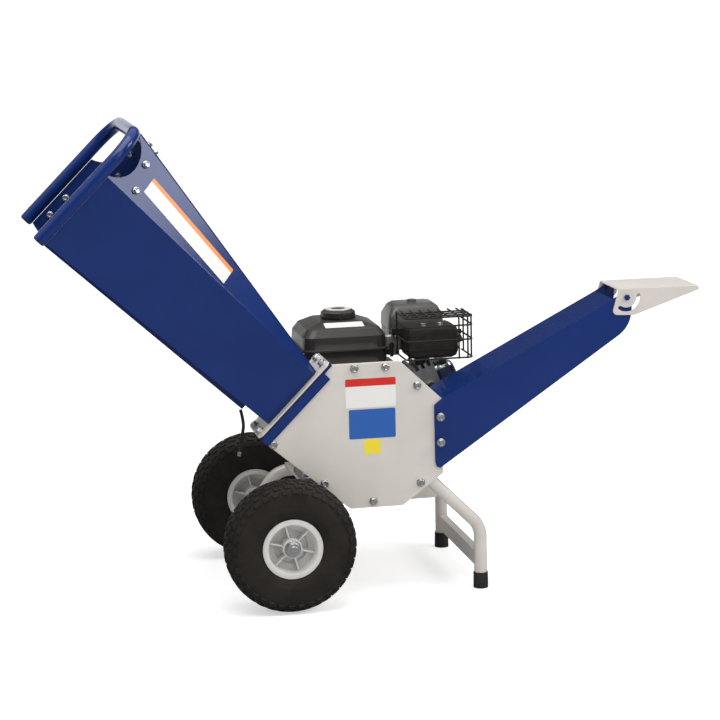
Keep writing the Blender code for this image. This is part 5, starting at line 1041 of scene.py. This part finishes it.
# %% Bolts of the engine
CYLINDER_TILT = math.radians(22)
CASE_NEAR_Y = -0.044
ROCKER_FACE = 0.2275
ROCKER_NEAR_Y = 0.024
ROCKER_BOLTS = ((-0.029, 0.004), (0.029, 0.004), (-0.029, 0.086), (0.029, 0.086))
MUFFLER_BOLTS_X = (0.316, 0.350)
MUFFLER_BOLTS_Y = -0.036
SHROUD_BOLTS = 4
SHROUD_BOLT_CIRCLE = 0.0885
SHROUD_BOLT_FIRST = 62
SHROUD_BOLT_STEP = 80
FOOT_BOLTS_Y = (0.022, 0.096)
FOOT_BOLTS_OUT = 0.080
FOOT_BASE = 0.206
FOOT_THICKNESS = 0.0113


def along_cylinder(distance, offset, y):
    """Point at a distance from the shaft along the tilted cylinder, and an offset square to it."""
    cos, sin = math.cos(CYLINDER_TILT), math.sin(CYLINDER_TILT)
    return on_machine(SHAFT[0] + distance * cos - offset * sin, y, SHAFT[1] + distance * sin + offset * cos)


cylinder_way = Vector((math.cos(CYLINDER_TILT), 0, math.sin(CYLINDER_TILT)))
for index, (offset, y) in enumerate(ROCKER_BOLTS):
    place = along_cylinder(ROCKER_FACE, offset, CASE_NEAR_Y + ROCKER_NEAR_Y + y)
    put_bolt(f"rocker_bolt_{index + 1}", place, cylinder_way, size=0.75)
_, muffler_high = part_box("muffler")
for index, x in enumerate(MUFFLER_BOLTS_X):
    place = Vector((on_machine(x, 0, 0).x, on_machine(0, MUFFLER_BOLTS_Y, 0).y, muffler_high.z - 0.0002))
    put_bolt(f"muffler_bolt_{index + 1}", place, (0, 0, 1), size=0.75)
_, shroud_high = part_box("fan_shroud")
shaft_place = on_machine(SHAFT[0], 0, SHAFT[1])
for index in range(SHROUD_BOLTS):
    angle = math.radians(SHROUD_BOLT_FIRST + SHROUD_BOLT_STEP * index)
    place = Vector((shaft_place.x + SHROUD_BOLT_CIRCLE * math.cos(angle), shroud_high.y,
                    shaft_place.z + SHROUD_BOLT_CIRCLE * math.sin(angle)))
    put_bolt(f"shroud_bolt_{index + 1}", place, (0, 1, 0), size=0.6)
for side in (-1, 1):
    for index, y in enumerate(FOOT_BOLTS_Y):
        place = on_machine(SHAFT[0] + side * FOOT_BOLTS_OUT, CASE_NEAR_Y + y, FOOT_BASE + FOOT_THICKNESS)
        put_bolt(f"mount_bolt_{'left' if side < 0 else 'right'}_{index + 1}", place, (0, 0, 1), size=0.85)
bpy.data.objects.remove(pattern_bolt, do_unlink=True)
print("bolts in all:", bolt_count)

# %% [markdown]
# The machine carries bare vinyl stickers in plain colours. Vinyl is smoother than paint and its
# gloss changes little across a sticker, so its clouds are wide and faint.

# %% Vinyl finishes
VINYL_GLOSS = (0.26, 0.34)
VINYL_COLOURS = {
    "white": ((0.76, 0.75, 0.73), (0.72, 0.71, 0.69)),
    "red": ((0.62, 0.020, 0.012), (0.56, 0.018, 0.011)),
    "blue": ((0.016, 0.105, 0.400), (0.014, 0.095, 0.370)),
    "yellow": ((0.82, 0.66, 0.030), (0.78, 0.62, 0.028)),
    "orange": ((0.84, 0.26, 0.040), (0.79, 0.24, 0.036)),
}

vinyl = {}
for name, (colour, shade) in VINYL_COLOURS.items():
    vinyl[name] = finish(f"{name}_vinyl", colour, shade, VINYL_GLOSS, grain=260, relief=0.03, clouds=2)
print("vinyl colours:", len(vinyl))

# %% [markdown]
# A sticker is a flat plane with rounded corners, extruded by a few tenths of a millimetre; a
# coloured band is the same sticker cut along a line. Each is made lying flat, with its width along
# X and its height along Y, and then laid on its panel by the panel's own directions.

# %% Stickers, all bare
STICKER_THICKNESS = 0.0003
STICKER_GAP = 0.00005
PLATE_STICKERS = (
    ("sticker_white", 0.1245, 0.2250, 0.3840, 0.4415, vinyl["white"], (0.0150, vinyl["red"])),
    ("sticker_blue", 0.1305, 0.2235, 0.3220, 0.3805, vinyl["blue"], None),
    ("sticker_yellow", 0.1600, 0.1925, 0.2905, 0.3200, vinyl["yellow"], None))
CHEEK_STICKER = (0.241, 0.0375)
CHEEK_BAND = 0.0085
TANK_STICKER = (0.080, 0.026)
TANK_STICKER_X = 0.1635
TANK_TOP = 0.520


def sticker(name, centre, sideways, upward, size, colour, corner=0.003, band=None):
    """Rounded bare sticker on a panel; band is (height of the band, its vinyl) along the upper edge."""
    width, height = size
    piece = new_shape(bpy.ops.mesh.primitive_plane_add, size=1)
    piece.scale = (width, height, 1)
    keep_place()
    edit(piece)
    bpy.ops.mesh.bevel(offset=corner, segments=5, affect='VERTICES')
    if band is not None:
        bpy.ops.mesh.select_all(action='SELECT')
        bpy.ops.mesh.bisect(plane_co=(0, height / 2 - band[0], 0), plane_no=(0, 1, 0))
    bpy.ops.mesh.select_all(action='SELECT')
    bpy.ops.mesh.extrude_region_move(TRANSFORM_OT_translate={"value": (0, 0, STICKER_THICKNESS)})
    bpy.ops.mesh.select_all(action='SELECT')
    bpy.ops.mesh.normals_make_consistent(inside=False)
    object_mode()
    piece.data.materials.append(colour)
    if band is not None:
        piece.data.materials.append(band[1])
        for face in piece.data.polygons:
            face.material_index = int(face.center.y > height / 2 - band[0] - 0.00001)
    sideways, upward = Vector(sideways).normalized(), Vector(upward)
    facing = sideways.cross(upward).normalized()
    upward = facing.cross(sideways)
    turn = Matrix((sideways, upward, facing)).transposed().to_4x4()
    piece.matrix_world = Matrix.Translation(Vector(centre) + facing * STICKER_GAP) @ turn
    settle(piece, name, "machine", None, 30)


for name, x0, x1, z0, z1, colour, band in PLATE_STICKERS:
    middle = on_machine((x0 + x1) / 2, 0, (z0 + z1) / 2)
    sticker(name, (middle.x, plate_low.y, middle.z), (1, 0, 0), (0, 0, 1), (x1 - x0, z1 - z0), colour,
            band=band)

cheek_middle, _ = on_cheek(-0.3935, 0.1025)
cheek_along = on_cheek(-0.2767, 0.0898)[0] - on_cheek(-0.5113, 0.1146)[0]
cheek_up = on_cheek(-0.5099, 0.1300)[0] - on_cheek(-0.5127, 0.0992)[0]
sticker("sticker_cheek", cheek_middle, cheek_along, cheek_up, CHEEK_STICKER, vinyl["white"], corner=0.0015,
        band=(CHEEK_BAND, vinyl["orange"]))

slope_low = on_machine(TANK_STICKER_X, -0.007, TANK_TOP - 0.009)
slope_high = on_machine(TANK_STICKER_X, 0.032, TANK_TOP)
slope_middle = slope_low.lerp(slope_high, 0.56) + Vector((0, 0, 0.0002))
sticker("sticker_tank", slope_middle, (1, 0, 0), slope_high - slope_low, TANK_STICKER, vinyl["white"],
        corner=0.0015)
print("stickers:", len(PLATE_STICKERS) + 2)

# %% [markdown]
# The fuel cap has a pale ring set in its crown. It is turned on the lathe as a flat ring and rides
# on the cap, so it turns with it.

# %% Ring in the fuel cap
cap_low, cap_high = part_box("fuel_cap")
cap_middle = Vector(((cap_low.x + cap_high.x) / 2, (cap_low.y + cap_high.y) / 2, cap_high.z))
ring_section = ((0.0150, -0.0010), (0.0150, 0.0003), (0.0156, 0.0006), (0.0258, 0.0004), (0.0264, 0.0000),
                (0.0264, -0.0016), (0.0150, -0.0010))
cap_ring = turn_on_lathe(ring_section, cap_middle, 48, 'Z')
settle(cap_ring, "fuel_cap_ring", "fuel_cap", rim_plastic)
print("cap ring on", [round(value, 3) for value in cap_middle])

# %% [markdown]
# The starter's rope runs from its reel to the grip through the cover's rim. At rest the grip sits
# on the rim and hides it. It is a thin straight tube, and it is given no moving part.

# %% Starter rope
PULL_WAY = Vector((-0.8, 0, 0.6))
SQUARE_TO_PULL = Vector((0.6, 0, 0.8))
REEL_RADIUS = 0.034
REEL_DEPTH = 0.014
ROPE_RADIUS = 0.0020
ROPE_INSIDE = 0.018
ROPE_IN_GRIP = 0.012

braid = finish("braided_rope", (0.030, 0.028, 0.026), (0.050, 0.047, 0.044), (0.62, 0.80), clouds=260,
               grain=900, relief=0.35, cells=True, brushed=(1, 1, 0.4), specular=0.2)
recoil_low, recoil_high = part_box("recoil_cover")
reel_middle = Vector((shaft_place.x, recoil_low.y + REEL_DEPTH, shaft_place.z))
reel_point = reel_middle + SQUARE_TO_PULL * REEL_RADIUS
to_rim = math.sqrt(((recoil_high.x - recoil_low.x) / 2) ** 2 - REEL_RADIUS ** 2)
rope_start = reel_point + PULL_WAY * (to_rim - ROPE_INSIDE)
rope_end = reel_point + PULL_WAY * (to_rim + ROPE_IN_GRIP)
rope = bent_tube([rope_start, rope_end], 0, ROPE_RADIUS, 3)
settle(rope, "starter_rope", None, braid)
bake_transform(rope)
print("rope at rest:", round((rope_end - rope_start).length, 3))
